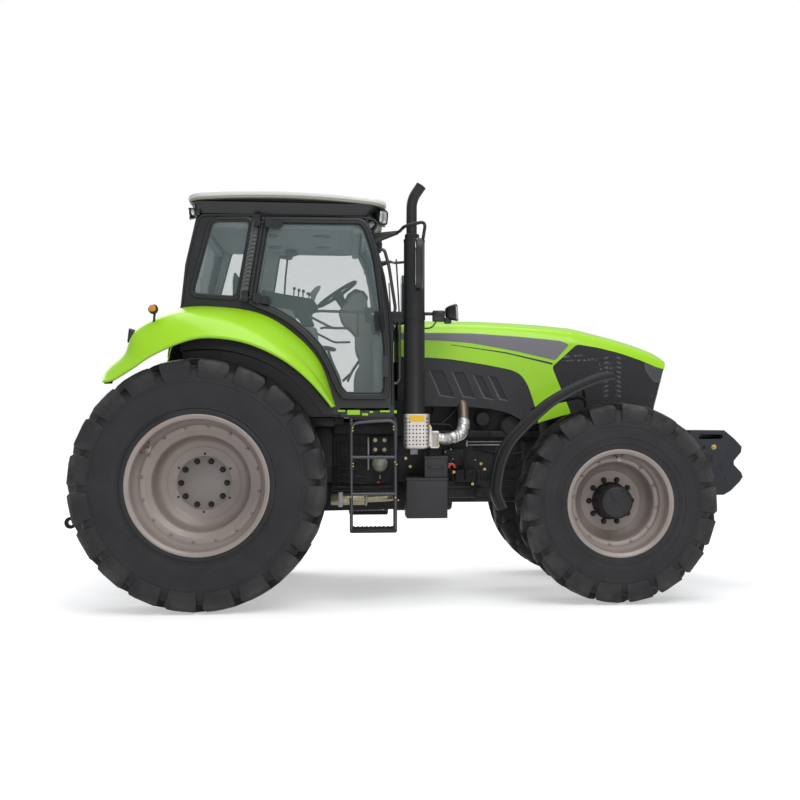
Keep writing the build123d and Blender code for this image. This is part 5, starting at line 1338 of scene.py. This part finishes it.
# The weights' holes as black discs on the iron: painted shade.
plug(bm, -0.004, 0.0008, 0.015, (3.944, -0.379, 1.16), OUT, 20)
plug(bm, -0.004, 0.0008, 0.008, (4.12, -0.379, 0.905), OUT, 16)
pair("weight_hole_shade", bm, "soft_black", slot="weight_iron")
bm = bmesh.new()
bolt(bm, (4.027, -0.379, 1.163), OUT, 0.014, 0.012)
lathe(bm, [(0.01, 0), (0.01, 0.008), (0.02, 0.007), (0.02, 0)], (4.027, -0.379, 1.163), OUT, 14)
pair("weight_bolt", bm, "zinc_yellow", slot="weight_iron")
bm = bmesh.new()
tube(bm, spline([at(4.165, -0.379, 1.115), at(4.12, -0.38, 1.06), at(4.06, -0.38, 1.0),
    at(4.0, -0.38, 0.955), at(3.96, -0.379, 0.935)], 4), 0.0035, 0, 8)
tube(bm, [(3.9, -0.379, 1.128), (4.22, -0.379, 1.128)], 0.003, 0, 8)
pair("weight_ribs", bm, "weight_iron")

for end, depth in (("rear", 0.204), ("front", 0.164)):
    axle, track = WHEELS[end][:2]
    bm = bmesh.new()
    for angle in around(STUDS, pi / STUDS):
        lathe(bm, [(-0.004, 0), (-0.004, 0.0225), (0.005, 0.0225), (0.008, 0.0205),
            (0.008, 0.0155), (0.024, 0.0145), (0.028, 0.011), (0.028, 0)],
            wheel_point(axle, track, -depth, STUD_RING, angle), OUT, 18)
    pair(f"studs_{end}", bm, "bolt_black", f"{end}_wheel_{{}}", slot="hub_black", smooth=35)

# ---------------------------------------------------------------- inside the cab
DASH = [(1.046, 2.325), (1.067, 2.382), (1.125, 2.424), (1.182, 2.408), (1.214, 2.352),
    (1.224, 2.283), (1.262, 2.09), (1.325, 2.05), (1.345, 1.9), (1.345, 1.454), (1.11, 1.454),
    (1.11, 1.734), (1.156, 1.807), (1.153, 1.879), (1.122, 1.936), (1.125, 2.066), (1.082, 2.123),
    (1.01, 2.18), (0.992, 2.245), (1.02, 2.29)]
bm = bmesh.new()
swell(bm, closed_round(DASH, 0.03), (1.17, 2.0), ((-0.205, 0.9), (-0.198, 0.96), (-0.18, 0.99),
    (-0.15, 1.0), (0.15, 1.0), (0.18, 0.99), (0.198, 0.96), (0.205, 0.9)))
boxes(bm, (1.25, -0.62, 1.454, 1.352, -0.2, 2.02, 0.03, 3),
    (1.25, 0.2, 1.454, 1.352, 0.62, 2.02, 0.03, 3))
piece("dash", bm, "trim_taupe", slot="interior_plastic", smooth=50, replaces=["steering_column"])
bm = bmesh.new()
hood = closed_round([(1.03, 2.33), (1.06, 2.395), (1.12, 2.438), (1.19, 2.42), (1.225, 2.37),
    (1.215, 2.345), (1.175, 2.395), (1.125, 2.41), (1.08, 2.375), (1.052, 2.318)], 0.012)
loft(bm, [[at(p.x, y, p.y) for p in hood] for y in (-0.19, -0.16, 0.16, 0.19)])
loft(bm, [[at(p.x, y, p.y) for p in closed_round([(0.985, 2.235), (1.0, 2.285), (1.06, 2.33),
    (1.09, 2.3), (1.06, 2.19)], 0.02)] for y in (-0.1, 0.1)])
tube(bm, [(1.09, 0, 2.23), (0.99, 0, 2.385)], 0.035, 0, 20)
for way in (1, -1):
    tube(bm, [(1.045, 0.03 * way, 2.3), (1.01, 0.15 * way, 2.33), (1.0, 0.2 * way, 2.345)], 0.007,
        0.03, 10)
    lathe(bm, [(0, 0), (0, 0.01), (0.03, 0.012), (0.045, 0.006), (0.045, 0)],
        (1.0, 0.2 * way, 2.345), (-0.1, way, 0.15), 14)
piece("dash_hood", bm, "soft_black", slot="interior_plastic", smooth=45)
bm = bmesh.new()
wheel_middle, wheel_axis = at(0.974, 0.0, 2.412), Vector((-0.56, 0, 0.83)).normalized()
u, v = basis(wheel_axis)
ring = [wheel_middle + (u * cos(t) + v * sin(t)) * 0.178 for t in around(48) + [2 * pi]]
tube(bm, ring, 0.0145, 0, 14, caps=False)
bmesh.ops.remove_doubles(bm, verts=bm.verts, dist=1e-5)
lathe(bm, [(-0.045, 0), (-0.045, 0.03), (-0.02, 0.045), (0.006, 0.05), (0.014, 0.04),
    (0.016, 0.0)], wheel_middle - wheel_axis * 0.01, wheel_axis, 32)
for angle in (0.0, 2.2, -2.2):
    out = u * cos(angle) + v * sin(angle)
    tube(bm, [wheel_middle - wheel_axis * 0.022 + out * 0.03,
        wheel_middle - wheel_axis * 0.016 + out * 0.11, wheel_middle + out * 0.172], 0.012, 0.03,
        12, squash=0.6)
piece("steering_wheel", bm, "soft_black", slot="interior_plastic", smooth=50)

CONSOLE = [(0.505, 2.25), (0.636, 2.227), (0.672, 2.141), (0.712, 2.1), (0.823, 2.096),
    (0.833, 1.99), (0.8, 1.8), (0.78, 1.453), (0.42, 1.453), (0.42, 2.05)]
bm = bmesh.new()
swell(bm, closed_round(CONSOLE, 0.03), (0.62, 1.85), ((-0.56, 0.93), (-0.552, 0.975), (-0.53, 1.0),
    (-0.36, 1.0), (-0.338, 0.975), (-0.33, 0.93)))
piece("console", bm, "trim_taupe", slot="interior_plastic", smooth=50, replaces=["side_console"])
ARM = [(0.38, 2.33), (0.402, 2.389), (0.512, 2.365), (0.733, 2.33), (0.789, 2.321), (0.834, 2.261),
    (0.819, 2.226), (0.789, 2.219), (0.775, 2.184), (0.805, 2.114), (0.712, 2.106), (0.678, 2.169),
    (0.568, 2.23), (0.457, 2.278)]
bm = bmesh.new()
swell(bm, closed_round(ARM, 0.018), (0.62, 2.25), ((-0.5, 0.94), (-0.49, 0.99), (-0.47, 1.0),
    (-0.37, 1.0), (-0.35, 0.99), (-0.342, 0.94)))
for x, z, y, tall in ((0.64, 2.345, -0.455, 0.05), (0.675, 2.34, -0.43, 0.045),
        (0.71, 2.335, -0.455, 0.04), (0.755, 2.325, -0.43, 0.03)):
    tube(bm, [(x, y, z - 0.02), (x + 0.006, y, z + tall)], 0.005, 0, 8)
    lathe(bm, [(-0.004, 0), (-0.004, 0.009), (0.004, 0.012), (0.016, 0.011), (0.022, 0.0)],
        (x + 0.006, y, z + tall), (0.1, 0, 1), 14)
tube(bm, [(0.7, -0.4, 2.1), (0.735, -0.4, 2.04), (0.745, -0.4, 1.98)], 0.02, 0.03, 12)
lathe(bm, [(-0.012, 0), (-0.01, 0.05), (0.004, 0.066), (0.016, 0.06), (0.024, 0.03), (0.025, 0)],
    (0.905, -0.36, 1.938), (0.15, 0, 1), 28)
tube(bm, [(0.905, -0.36, 1.935), (0.935, -0.36, 1.84), (1.0, -0.36, 1.7), (1.02, -0.36, 1.46)],
    0.011, 0.05, 12)
piece("armrest", bm, "soft_black", slot="interior_plastic", smooth=45)
bm = bmesh.new()
rings = []
for x, z, w, h in ((0.79, 2.31, 0.016, 0.012), (0.792, 2.335, 0.02, 0.015),
        (0.798, 2.36, 0.027, 0.02), (0.806, 2.385, 0.034, 0.024), (0.818, 2.408, 0.032, 0.024),
        (0.828, 2.424, 0.02, 0.016), (0.832, 2.43, 0.006, 0.005)):
    rings.append([at(x + w * cos(t), -0.42 + h * sin(t), z + 0.3 * w * cos(t))
        for t in around(20)])
loft(bm, rings)
box(bm, (0.738, -0.438, 2.358), (0.8, -0.405, 2.378), 0.008)
piece("joystick", bm, "trim_taupe", slot="interior_plastic", smooth=60)
bm = bmesh.new()
tube(bm, [(0.525, 0.45, 2.44), (0.535, 0.45, 2.6), (0.555, 0.45, 2.792)], 0.008, 0.05, 10)
lathe(bm, [(-0.03, 0), (-0.028, 0.03), (-0.018, 0.052), (0.0, 0.06), (0.016, 0.054), (0.026, 0.03),
    (0.028, 0)], (0.585, 0.45, 2.812), (0.1, 0, 1), 28)
tube(bm, [(0.48, 0.5, 2.3), (0.51, 0.47, 2.38), (0.525, 0.45, 2.445)], 0.014, 0.04, 12)
for y in (-0.14, -0.04, 0.12):
    tube(bm, [(1.15, y, 1.86), (1.1, y, 1.79), (1.06, y, 1.7)], 0.009, 0.04, 10)
    box(bm, Vector((0, -0.034, -0.005)), Vector((0.085, 0.034, 0.007)), 0.004, 2,
        Matrix.Translation(at(1.02, y, 1.7)) @ Matrix.Rotation(-0.75, 4, "Y"))
piece("cab_levers", bm, "soft_black", slot="interior_plastic", smooth=45)

# The headlining, pillar linings and floor mat.
bm = bmesh.new()
line = closed_round([(0.0, -0.715), (1.135, -0.715), (1.135, 0.715), (0.0, 0.715)], 0.1)
swell(bm, line, (0.567, 0), ((2.866, 1.0), (2.85, 0.998), (2.832, 0.985), (2.824, 0.955),
    (2.822, 0.88), (2.834, 0.84), (2.836, 0.5)), "z")
for x in (-0.05, 1.12):
    box(bm, (x - 0.02, -0.7, 2.8), (x + 0.03, 0.7, 2.862), 0.012)
piece("headlining", bm, "trim_grey", slot="interior_plastic", smooth=50)
LININGS = (
    [(0.268, 2.3), (0.378, 2.3), (0.47, 2.85), (0.36, 2.85)],
    [(-0.125, 2.3), (-0.09, 2.3), (0.05, 2.85), (0.0, 2.85), (-0.085, 2.532)],
    [(1.165, 2.85), (1.135, 2.85), (1.216, 2.676), (1.244, 2.546), (1.28, 2.264),
     (1.316, 1.928), (1.33, 1.928), (1.325, 2.2), (1.28, 2.47), (1.207, 2.755)],
    [(-0.125, 2.225), (0.37, 2.225), (0.39, 2.292), (-0.1, 2.3)],
    [(0.38, 2.838), (1.15, 2.842), (1.15, 2.862), (0.38, 2.858)])
bm = bmesh.new()
for outline in LININGS:
    fill(bm, outline, wall, -0.06, -0.0435, 0.012)
pair("pillar_lining", bm, "trim_grey", slot="interior_plastic")
bm = bmesh.new()
for x, y in ((0.45, -0.3), (0.86, -0.3), (0.45, 0.3), (0.86, 0.3)):
    lathe(bm, [(0.0, 0), (0.0, 0.07), (0.006, 0.068), (0.01, 0.055), (0.008, 0.0)], (x, y, 2.8345),
        (0, 0, -1), 32)
piece("roof_vents", bm, "interior_plastic", smooth=45)
bm = bmesh.new()
box(bm, (0.395, -0.61, 1.4505), (1.1, 0.61, 1.46), 0.004)
slats(bm, 16, 0.042, (0.42, -0.58, 1.4595), (0.438, 0.58, 1.4625), 0.001, 1)
piece("floor_mat", bm, "soft_black", slot="interior_plastic")


def seat_form(sections):
    """A padded form from rows of (centre, direction of thickness, half width, half thickness)."""
    bm = bmesh.new()
    loft(bm, [[at(x + ux * b, a, z + uz * b) for a, b in oval(wide, thick, 0.55, 0.62, 36)]
        for (x, z), (ux, uz), wide, thick in sections])
    return bm


def puffed(bm, voxel, cap, pressure=4.0, frames=12):
    """A remeshed form swelled by a short cloth simulation, no point moving past cap."""
    obj = linked("temporary", to_mesh(clean(bm)))
    remesh = obj.modifiers.new("remesh", "REMESH")
    remesh.mode, remesh.voxel_size = "VOXEL", voxel
    graph = bpy.context.evaluated_depsgraph_get()
    bpy.context.view_layer.update()
    mesh = bpy.data.meshes.new_from_object(obj.evaluated_get(graph))
    bpy.data.objects.remove(obj)
    obj = linked("temporary", mesh)
    start = [v.co.copy() for v in mesh.vertices]
    cloth = obj.modifiers.new("cloth", "CLOTH")
    cloth.settings.use_pressure = True
    cloth.settings.uniform_pressure_force = pressure
    cloth.settings.effector_weights.gravity = 0
    cloth.settings.quality = 4
    for frame_number in range(1, frames + 1):
        bpy.context.scene.frame_set(frame_number)
    graph = bpy.context.evaluated_depsgraph_get()
    moved = bpy.data.meshes.new_from_object(obj.evaluated_get(graph))
    for index, vertex in enumerate(moved.vertices):
        shift = vertex.co - start[index]
        if shift.length > cap:
            vertex.co = start[index] + shift.normalized() * cap
    bpy.data.objects.remove(obj)
    bpy.context.scene.frame_set(1)
    return moved


def channels(mesh, places, depth, width):
    """Sewn channels: each place is (point on the line, direction across it)."""
    for vertex in mesh.vertices:
        for point, across_it in places:
            d = (vertex.co - point).dot(across_it)
            vertex.co += vertex.normal * (-depth * exp(-(d / width) ** 2))


cushion = seat_form([((0.33, 1.925), (-0.1, 1.0), 0.15, 0.03),
    ((0.345, 1.925), (-0.1, 1.0), 0.205, 0.048), ((0.4, 1.925), (-0.05, 1.0), 0.228, 0.056),
    ((0.5, 1.922), (0.0, 1.0), 0.236, 0.054), ((0.62, 1.92), (0.0, 1.0), 0.236, 0.052),
    ((0.72, 1.922), (0.05, 1.0), 0.228, 0.05), ((0.775, 1.918), (0.1, 1.0), 0.205, 0.044),
    ((0.792, 1.916), (0.1, 1.0), 0.15, 0.028)])
backrest = seat_form([((0.29, 1.995), (1.0, 0.12), 0.14, 0.026),
    ((0.287, 2.01), (1.0, 0.12), 0.195, 0.042), ((0.278, 2.07), (1.0, 0.14), 0.224, 0.05),
    ((0.264, 2.17), (1.0, 0.16), 0.234, 0.048), ((0.245, 2.3), (1.0, 0.18), 0.228, 0.046),
    ((0.225, 2.43), (1.0, 0.18), 0.206, 0.042), ((0.212, 2.5), (1.0, 0.18), 0.18, 0.036),
    ((0.206, 2.528), (1.0, 0.18), 0.12, 0.022)])
SEAT_VOXEL, MOST_SWELL = 0.013, 0.014
soft_cushion = puffed(cushion, SEAT_VOXEL, MOST_SWELL)
soft_back = puffed(backrest, SEAT_VOXEL, MOST_SWELL)
CHANNEL = (0.006, 0.008)  # depth and width
channels(soft_cushion, [(at(x, 0, 0), Vector((1, 0, 0))) for x in (0.45, 0.55, 0.65)]
         + [(at(0, y, 0), Vector((0, 1, 0))) for y in (0.15, -0.15)], *CHANNEL)
channels(soft_back, [(at(0, 0, z), Vector((0.2, 0, 0.98)))
    for z in (2.13, 2.24, 2.35)] + [(at(0, y, 0), Vector((0, 1, 0))) for y in (-0.145, 0.145)],
    *CHANNEL)
for name, mesh, replaced in (("seat_cushion", soft_cushion, ["seat"]),
        ("seat_back", soft_back, [])):
    obj = piece(name, mesh, "seat_fabric", smooth=180, replaces=replaced)
    smoothing = obj.modifiers.new("smooth", "SMOOTH")
    smoothing.factor, smoothing.iterations = 0.5, 3
bm = bmesh.new()
shell = [(0.18, 1.9), (0.16, 2.1), (0.15, 2.3), (0.15, 2.5), (0.162, 2.555), (0.176, 2.555),
    (0.186, 2.5), (0.196, 2.3), (0.215, 2.1), (0.235, 1.985), (0.3, 1.88), (0.79, 1.872),
    (0.79, 1.861), (0.27, 1.861)]
swell(bm, closed_round(shell, 0.02), (0.4, 2.1), ((-0.215, 0.96), (-0.205, 0.985), (-0.18, 1.0),
    (0.18, 1.0), (0.205, 0.985), (0.215, 0.96)))
for way in (1, -1):
    tube(bm, [(0.25, 0.225 * way, 2.03), (0.262, 0.262 * way, 2.085), (0.33, 0.268 * way, 2.1),
        (0.59, 0.268 * way, 2.085)], [0.018 + 0.01 * min(1.0, k / 8) for k in range(16)], 0.03, 14)
piece("seat_shell", bm, "interior_plastic", smooth=45)
bm = bmesh.new()
box(bm, (0.39, -0.175, 1.4505), (0.71, 0.175, 1.5), 0.012)
folds = [(1.498, 0.96), (1.52, 1.04), (1.545, 0.93), (1.57, 1.04), (1.595, 0.92), (1.62, 1.03),
    (1.645, 0.9), (1.67, 1.02), (1.695, 0.9), (1.72, 1.0), (1.745, 0.9), (1.77, 0.98), (1.8, 0.92)]
line = closed_round([(0.41, -0.155), (0.69, -0.155), (0.69, 0.155), (0.41, 0.155)], 0.05)
swell(bm, line, (0.55, 0), folds, "z")
box(bm, (0.38, -0.185, 1.8), (0.72, 0.185, 1.86), 0.012)
piece("seat_suspension", bm, "soft_black", slot="interior_plastic", replaces=["seat_base"],
    smooth=60)

# ---------------------------------------------------------------- steps and right flank
bm = bmesh.new()
for x in (1.085, 1.41):
    tube(bm, [(x, -0.985, 0.552), (x, -0.985, 1.3), (x, -0.96, 1.352), (x, -0.815, 1.392)], 0.0125,
        0.04, 14)
    tube(bm, [(x, -0.815, 0.56), (x, -0.815, 1.385)], 0.011, 0, 12)
tube(bm, [(1.085, -0.985, 1.3), (1.095, -0.985, 1.345), (1.13, -0.985, 1.358),
    (1.24, -0.985, 1.368), (1.365, -0.985, 1.374), (1.4, -0.985, 1.362), (1.41, -0.985, 1.3)],
    0.0125, 0.03, 14)
for z in (0.833, 1.104):
    tube(bm, [(1.085, -0.985, z), (1.41, -0.985, z)], 0.012, 0, 14)
    box(bm, (1.088, -0.982, z - 0.01), (1.407, -0.815, z + 0.008), 0.004)
    slats(bm, 9, 0.034, (1.105, -0.96, z + 0.006), (1.117, -0.835, z + 0.012), 0.002, 1)
pair("step_frame", bm, "satin_tube", slot="chassis_grey", replaces=["steps"], smooth=45)
bm = bmesh.new()
box(bm, (1.078, -0.998, 0.545), (1.417, -0.806, 0.578), 0.008)
slats(bm, 10, 0.032, (1.098, -0.985, 0.576), (1.11, -0.82, 0.583), 0.002, 1)
box(bm, (1.073, -0.83, 1.378), (1.424, -0.8, 1.4), 0.004)
pair("low_step", bm, "chassis_grey")
bm = bmesh.new()
for x, z in ((1.095, 1.322), (1.095, 1.3), (1.395, 1.33), (1.396, 1.308), (1.098, 1.058),
        (1.098, 1.037), (1.404, 1.068), (1.418, 1.05), (1.08, 0.812), (1.408, 0.806),
        (1.43, 0.786)):
    bolt(bm, (x, -0.995, z), OUT, 0.0062, 0.006, washer=False)
for x, z in ((1.03, 1.303), (1.15, 1.365), (1.352, 1.343), (1.51, 1.082), (1.545, 1.018),
        (1.5, 1.2), (2.13, 1.03), (2.16, 0.985), (2.05, 0.872), (1.9, 0.968), (2.3, 0.99)):
    bolt(bm, (x, -0.505 if x < 1.6 else -0.366 if x < 2.09 else -0.256, z), OUT, 0.008, 0.006)
piece("step_bolts", bm, "zinc_yellow", slot="chassis_grey")
bm = bmesh.new()
boxes(bm, (0.93, -0.5, 0.83, 1.45, -0.236, 1.395, 0.015),
    (0.8, -0.62, 1.345, 1.03, -0.24, 1.412, 0.006), (1.4, -0.56, 1.25, 1.64, -0.24, 1.53, 0.015),
    (0.76, -0.7, 1.33, 0.96, -0.24, 1.4, 0.006), (1.235, -0.52, 1.11, 1.385, -0.49, 1.262, 0.008),
    (0.95, -0.56, 1.27, 1.43, -0.47, 1.372, 0.012), (1.44, -0.48, 0.9, 1.64, -0.236, 1.33, 0.012),
    (0.8, -0.52, 0.9, 0.945, -0.236, 1.33, 0.015))
slats(bm, 8, 0.028, (0.955, -0.512, 0.86), (0.965, -0.498, 1.24), 0.002, 1)
for z in (0.9, 0.95, 1.0, 1.06, 1.13, 1.19):
    tube(bm, [(0.935, -0.515, z), (1.03, -0.53, z + 0.008), (1.2, -0.515, z - 0.012)], 0.007, 0.03,
        8)
tube(bm, [(0.94, -0.53, 0.862), (1.15, -0.54, 0.858), (1.44, -0.53, 0.866)], 0.013, 0.03, 10)
boxes(bm, (1.7, -0.36, 1.24, 2.19, -0.225, 1.3, 0.01),
    (2.15, -0.33, 1.242, 2.6, -0.225, 1.298, 0.01), (1.76, -0.33, 0.76, 2.08, -0.23, 0.9, 0.012),
    (2.06, -0.256, 0.762, 2.56, -0.23, 0.898, 0.008),
    (1.91, -0.365, 0.885, 2.08, -0.232, 0.985, 0.008),
    (2.06, -0.256, 0.885, 2.21, -0.232, 0.985, 0.006))
for k in range(11):
    depth = 0.374 if k < 6 else 0.262
    box(bm, (1.922 + 0.025 * k, -depth, 0.892), (1.932 + 0.025 * k, -depth + 0.012, 0.978), 0.002,
        1)
boxes(bm, (2.24, -0.256, 1.0, 2.42, -0.23, 1.18, 0.008),
    (1.82, -0.32, 1.01, 1.99, -0.23, 1.15, 0.015))
lathe(bm, [(0, 0), (0, 0.085), (0.03, 0.085), (0.034, 0.075), (0.05, 0.072), (0.054, 0.0)],
    (2.36, -0.3, 1.34), OUT, 32)
lathe(bm, [(0, 0), (0, 0.06), (0.1, 0.06), (0.11, 0.05), (0.11, 0.0)], (2.13, -0.29, 1.39), OUT,
    28)
lathe(bm, [(0, 0), (0, 0.04), (0.16, 0.04), (0.17, 0.032), (0.17, 0.0)], (2.48, -0.215, 1.05), UP,
    28)
for path in ([(1.719, 1.349), (1.865, 1.345), (1.904, 1.298), (1.912, 1.18)],
        [(1.8, 1.352), (1.88, 1.42), (1.921, 1.477)], [(1.86, 1.1), (1.905, 1.06), (1.93, 0.99)],
        [(1.96, 1.11), (1.99, 1.03), (1.995, 0.91)], [(1.7, 1.08), (1.86, 1.02), (1.9, 0.9)]):
    tube(bm, [(x, -0.372, z) for x, z in path], 0.01, 0.06, 10)
for path in ([(2.452, 1.42), (2.482, 1.3), (2.452, 1.18)],
        [(2.072, 1.16), (2.212, 1.13), (2.342, 1.1), (2.472, 1.12)]):
    tube(bm, [(x, -0.252, z) for x, z in path], 0.009, 0.06, 10)
tube(bm, [(1.82, -0.345, 0.85), (2.05, -0.345, 0.846), (2.12, -0.256, 0.843), (2.4, -0.252, 0.842),
    (2.6, -0.248, 0.85)], 0.009, 0.03, 10)
for k in range(7):
    bolt(bm, (1.8 + 0.12 * k, -0.331 if k < 3 else -0.257, 0.79), OUT, 0.011,
        0.009 if k < 3 else 0.005)
piece("flank_castings", bm, "chassis_grey", smooth=38)
bm = bmesh.new()
for z in (1.2085, 1.183):
    tube(bm, [(2.018, -0.255, z), (2.312, -0.255, z)], 0.0065, 0, 10)
box(bm, (2.006, -0.262, 1.168), (2.024, -0.238, 1.222), 0.003)
tube(bm, [(1.218, -0.535, 1.245), (1.218, -0.535, 0.993)], 0.009, 0, 10)
box(bm, (1.545, -0.495, 1.11), (1.605, -0.478, 1.16), 0.003)
lathe(bm, [(-0.03, 0), (-0.03, 0.006), (-0.002, 0.006), (0, 0)], (1.307, -0.56, 0.955), UP, 12)
for x, z in ((1.83, 1.13), (1.845, 1.09), (1.875, 1.15), (1.89, 1.07), (1.86, 1.035),
        (2.085, 1.06)):
    lathe(bm, [(0, 0), (0, 0.006), (0.006, 0.005), (0.006, 0)],
        (x, -0.382 if x < 2.0 else -0.239, z), OUT, 10)
piece("flank_pipes", bm, "pale_metal", slot="shield_steel", smooth=45)
bm = bmesh.new()
for x, z in ((1.272, 1.224), (1.343, 1.224), (1.272, 1.151), (1.343, 1.15)):
    bolt(bm, (x, -0.52, z), OUT, 0.01, 0.006)
tube(bm, [(0.93, -0.56, 0.768), (0.94, -0.56, 0.768), (1.2, -0.56, 0.768), (1.209, -0.56, 0.768)],
    [0.036, 0.043, 0.043, 0.036], 0, 28)
tube(bm, [(1.205, -0.56, 0.77), (1.29, -0.56, 0.772), (1.37, -0.555, 0.776), (1.42, -0.5, 0.78)],
    0.0255, 0.04, 20)
piece("brass_filter", bm, "brass", slot="shield_steel", smooth=45)
bm = bmesh.new()
boxes(bm, (0.985, -0.612, 0.712, 1.022, -0.5, 0.825, 0.006),
    (1.195, -0.61, 0.722, 1.206, -0.5, 0.814, 0.003))
piece("filter_clamp", bm, "pale_metal", slot="shield_steel")
bm = bmesh.new()
lathe(bm, [(-0.062, 0), (-0.06, 0.02), (-0.045, 0.043), (-0.015, 0.06), (0.01, 0.0625),
    (0.03, 0.058), (0.044, 0.048), (0.046, 0.03), (0.046, 0)], (1.307, -0.57, 1.04), UP, 36)
piece("sediment_bowl", bm, "bowl_glass", slot="glass_clear", smooth=50)
bm = bmesh.new()
box(bm, (1.285, -0.595, 1.084), (1.33, -0.54, 1.118), 0.008)
tube(bm, [(1.307, -0.56, 1.105), (1.307, -0.52, 1.11)], 0.014, 0, 12)
piece("bowl_head", bm, "chassis_grey")
bm = bmesh.new()
box(bm, (1.282, -0.585, 0.892), (1.306, -0.56, 0.906), 0.004)
piece("red_tap", bm, "tap_red", slot="lamp_plastic")
bm = bmesh.new()
for low_x, high_x, low_z, high_z in ((0.985, 1.04, 1.44, 1.454), (1.055, 1.15, 1.418, 1.454),
        (1.165, 1.21, 1.412, 1.43), (1.222, 1.248, 1.432, 1.446), (1.3, 1.372, 1.438, 1.452),
        (1.405, 1.425, 1.43, 1.452)):
    box(bm, (low_x, -0.8335, low_z), (high_x, -0.8295, high_z), 0.0015, 1)
piece("sill_edges", bm, "body_green")

# ---------------------------------------------------------------- marks on the bonnet
marks = bmesh.new()
for x, way in ((3.128, 1), (3.2345, -1)):
    for k in range(9):
        z = 1.565 + 0.038 * k
        marks.from_mesh(prism([(x - 0.017 * way, z), (x + 0.017 * way, z + 0.012),
            (x + 0.019 * way, z + 0.026), (x - 0.015 * way, z + 0.016)]))
bonnet_piece("nose_marks", bonnet_hull(0.0032), [("-", panel_hull), ("&", to_mesh(marks))],
    "mark_grey", slot="panel_dark")
rim_outline = prism(grown(HEADLAMP, 1.13), bend=0.014)
bonnet_piece("headlamp_rim", bonnet_hull(0.0022), [("-", panel_hull), ("&", rim_outline),
    ("-", prism(grown(HEADLAMP, 0.97), bend=0.012))], "mark_grey", slot="panel_dark")
# Light grey strips along each window's rear side and foot, not frames: painted highlight where
# those edges catch the light.
frames = bmesh.new()
for (ax, az), _, (cx, cz), (dx, dz) in WINDOWS:
    frames.from_mesh(prism([(ax - 0.006, az), (ax + 0.004, az), (dx + 0.004, dz + 0.006),
        (cx, cz + 0.004), (cx, cz - 0.006), (dx - 0.008, dz - 0.006)]))
bonnet_piece("window_edge_highlights", bonnet_hull(0.0028), [("-", panel_hull), ("&", to_mesh(frames))],
    "mark_grey", slot="panel_dark")

# The CAD nodes that stay in view get rounded edges.
for name, width in (
    ("cab_frame", 0.006), ("cab_base", 0.006), ("roof_tray", 0.012),
    ("door_right", 0.004), ("door_left", 0.004), ("cab_floor", 0.004),
    ("transaxle", 0.01), ("engine_block", 0.008), ("front_frame", 0.005),
    ("front_axle", 0.008), ("weight_carrier", 0.005), ("front_weights", 0.006),
    ("drawbar", 0.004), ("cooling_pack", 0.006), ("lower_links", 0.004), ("firewall", 0.002),
):
    soften(frame["nodes"][name], width)
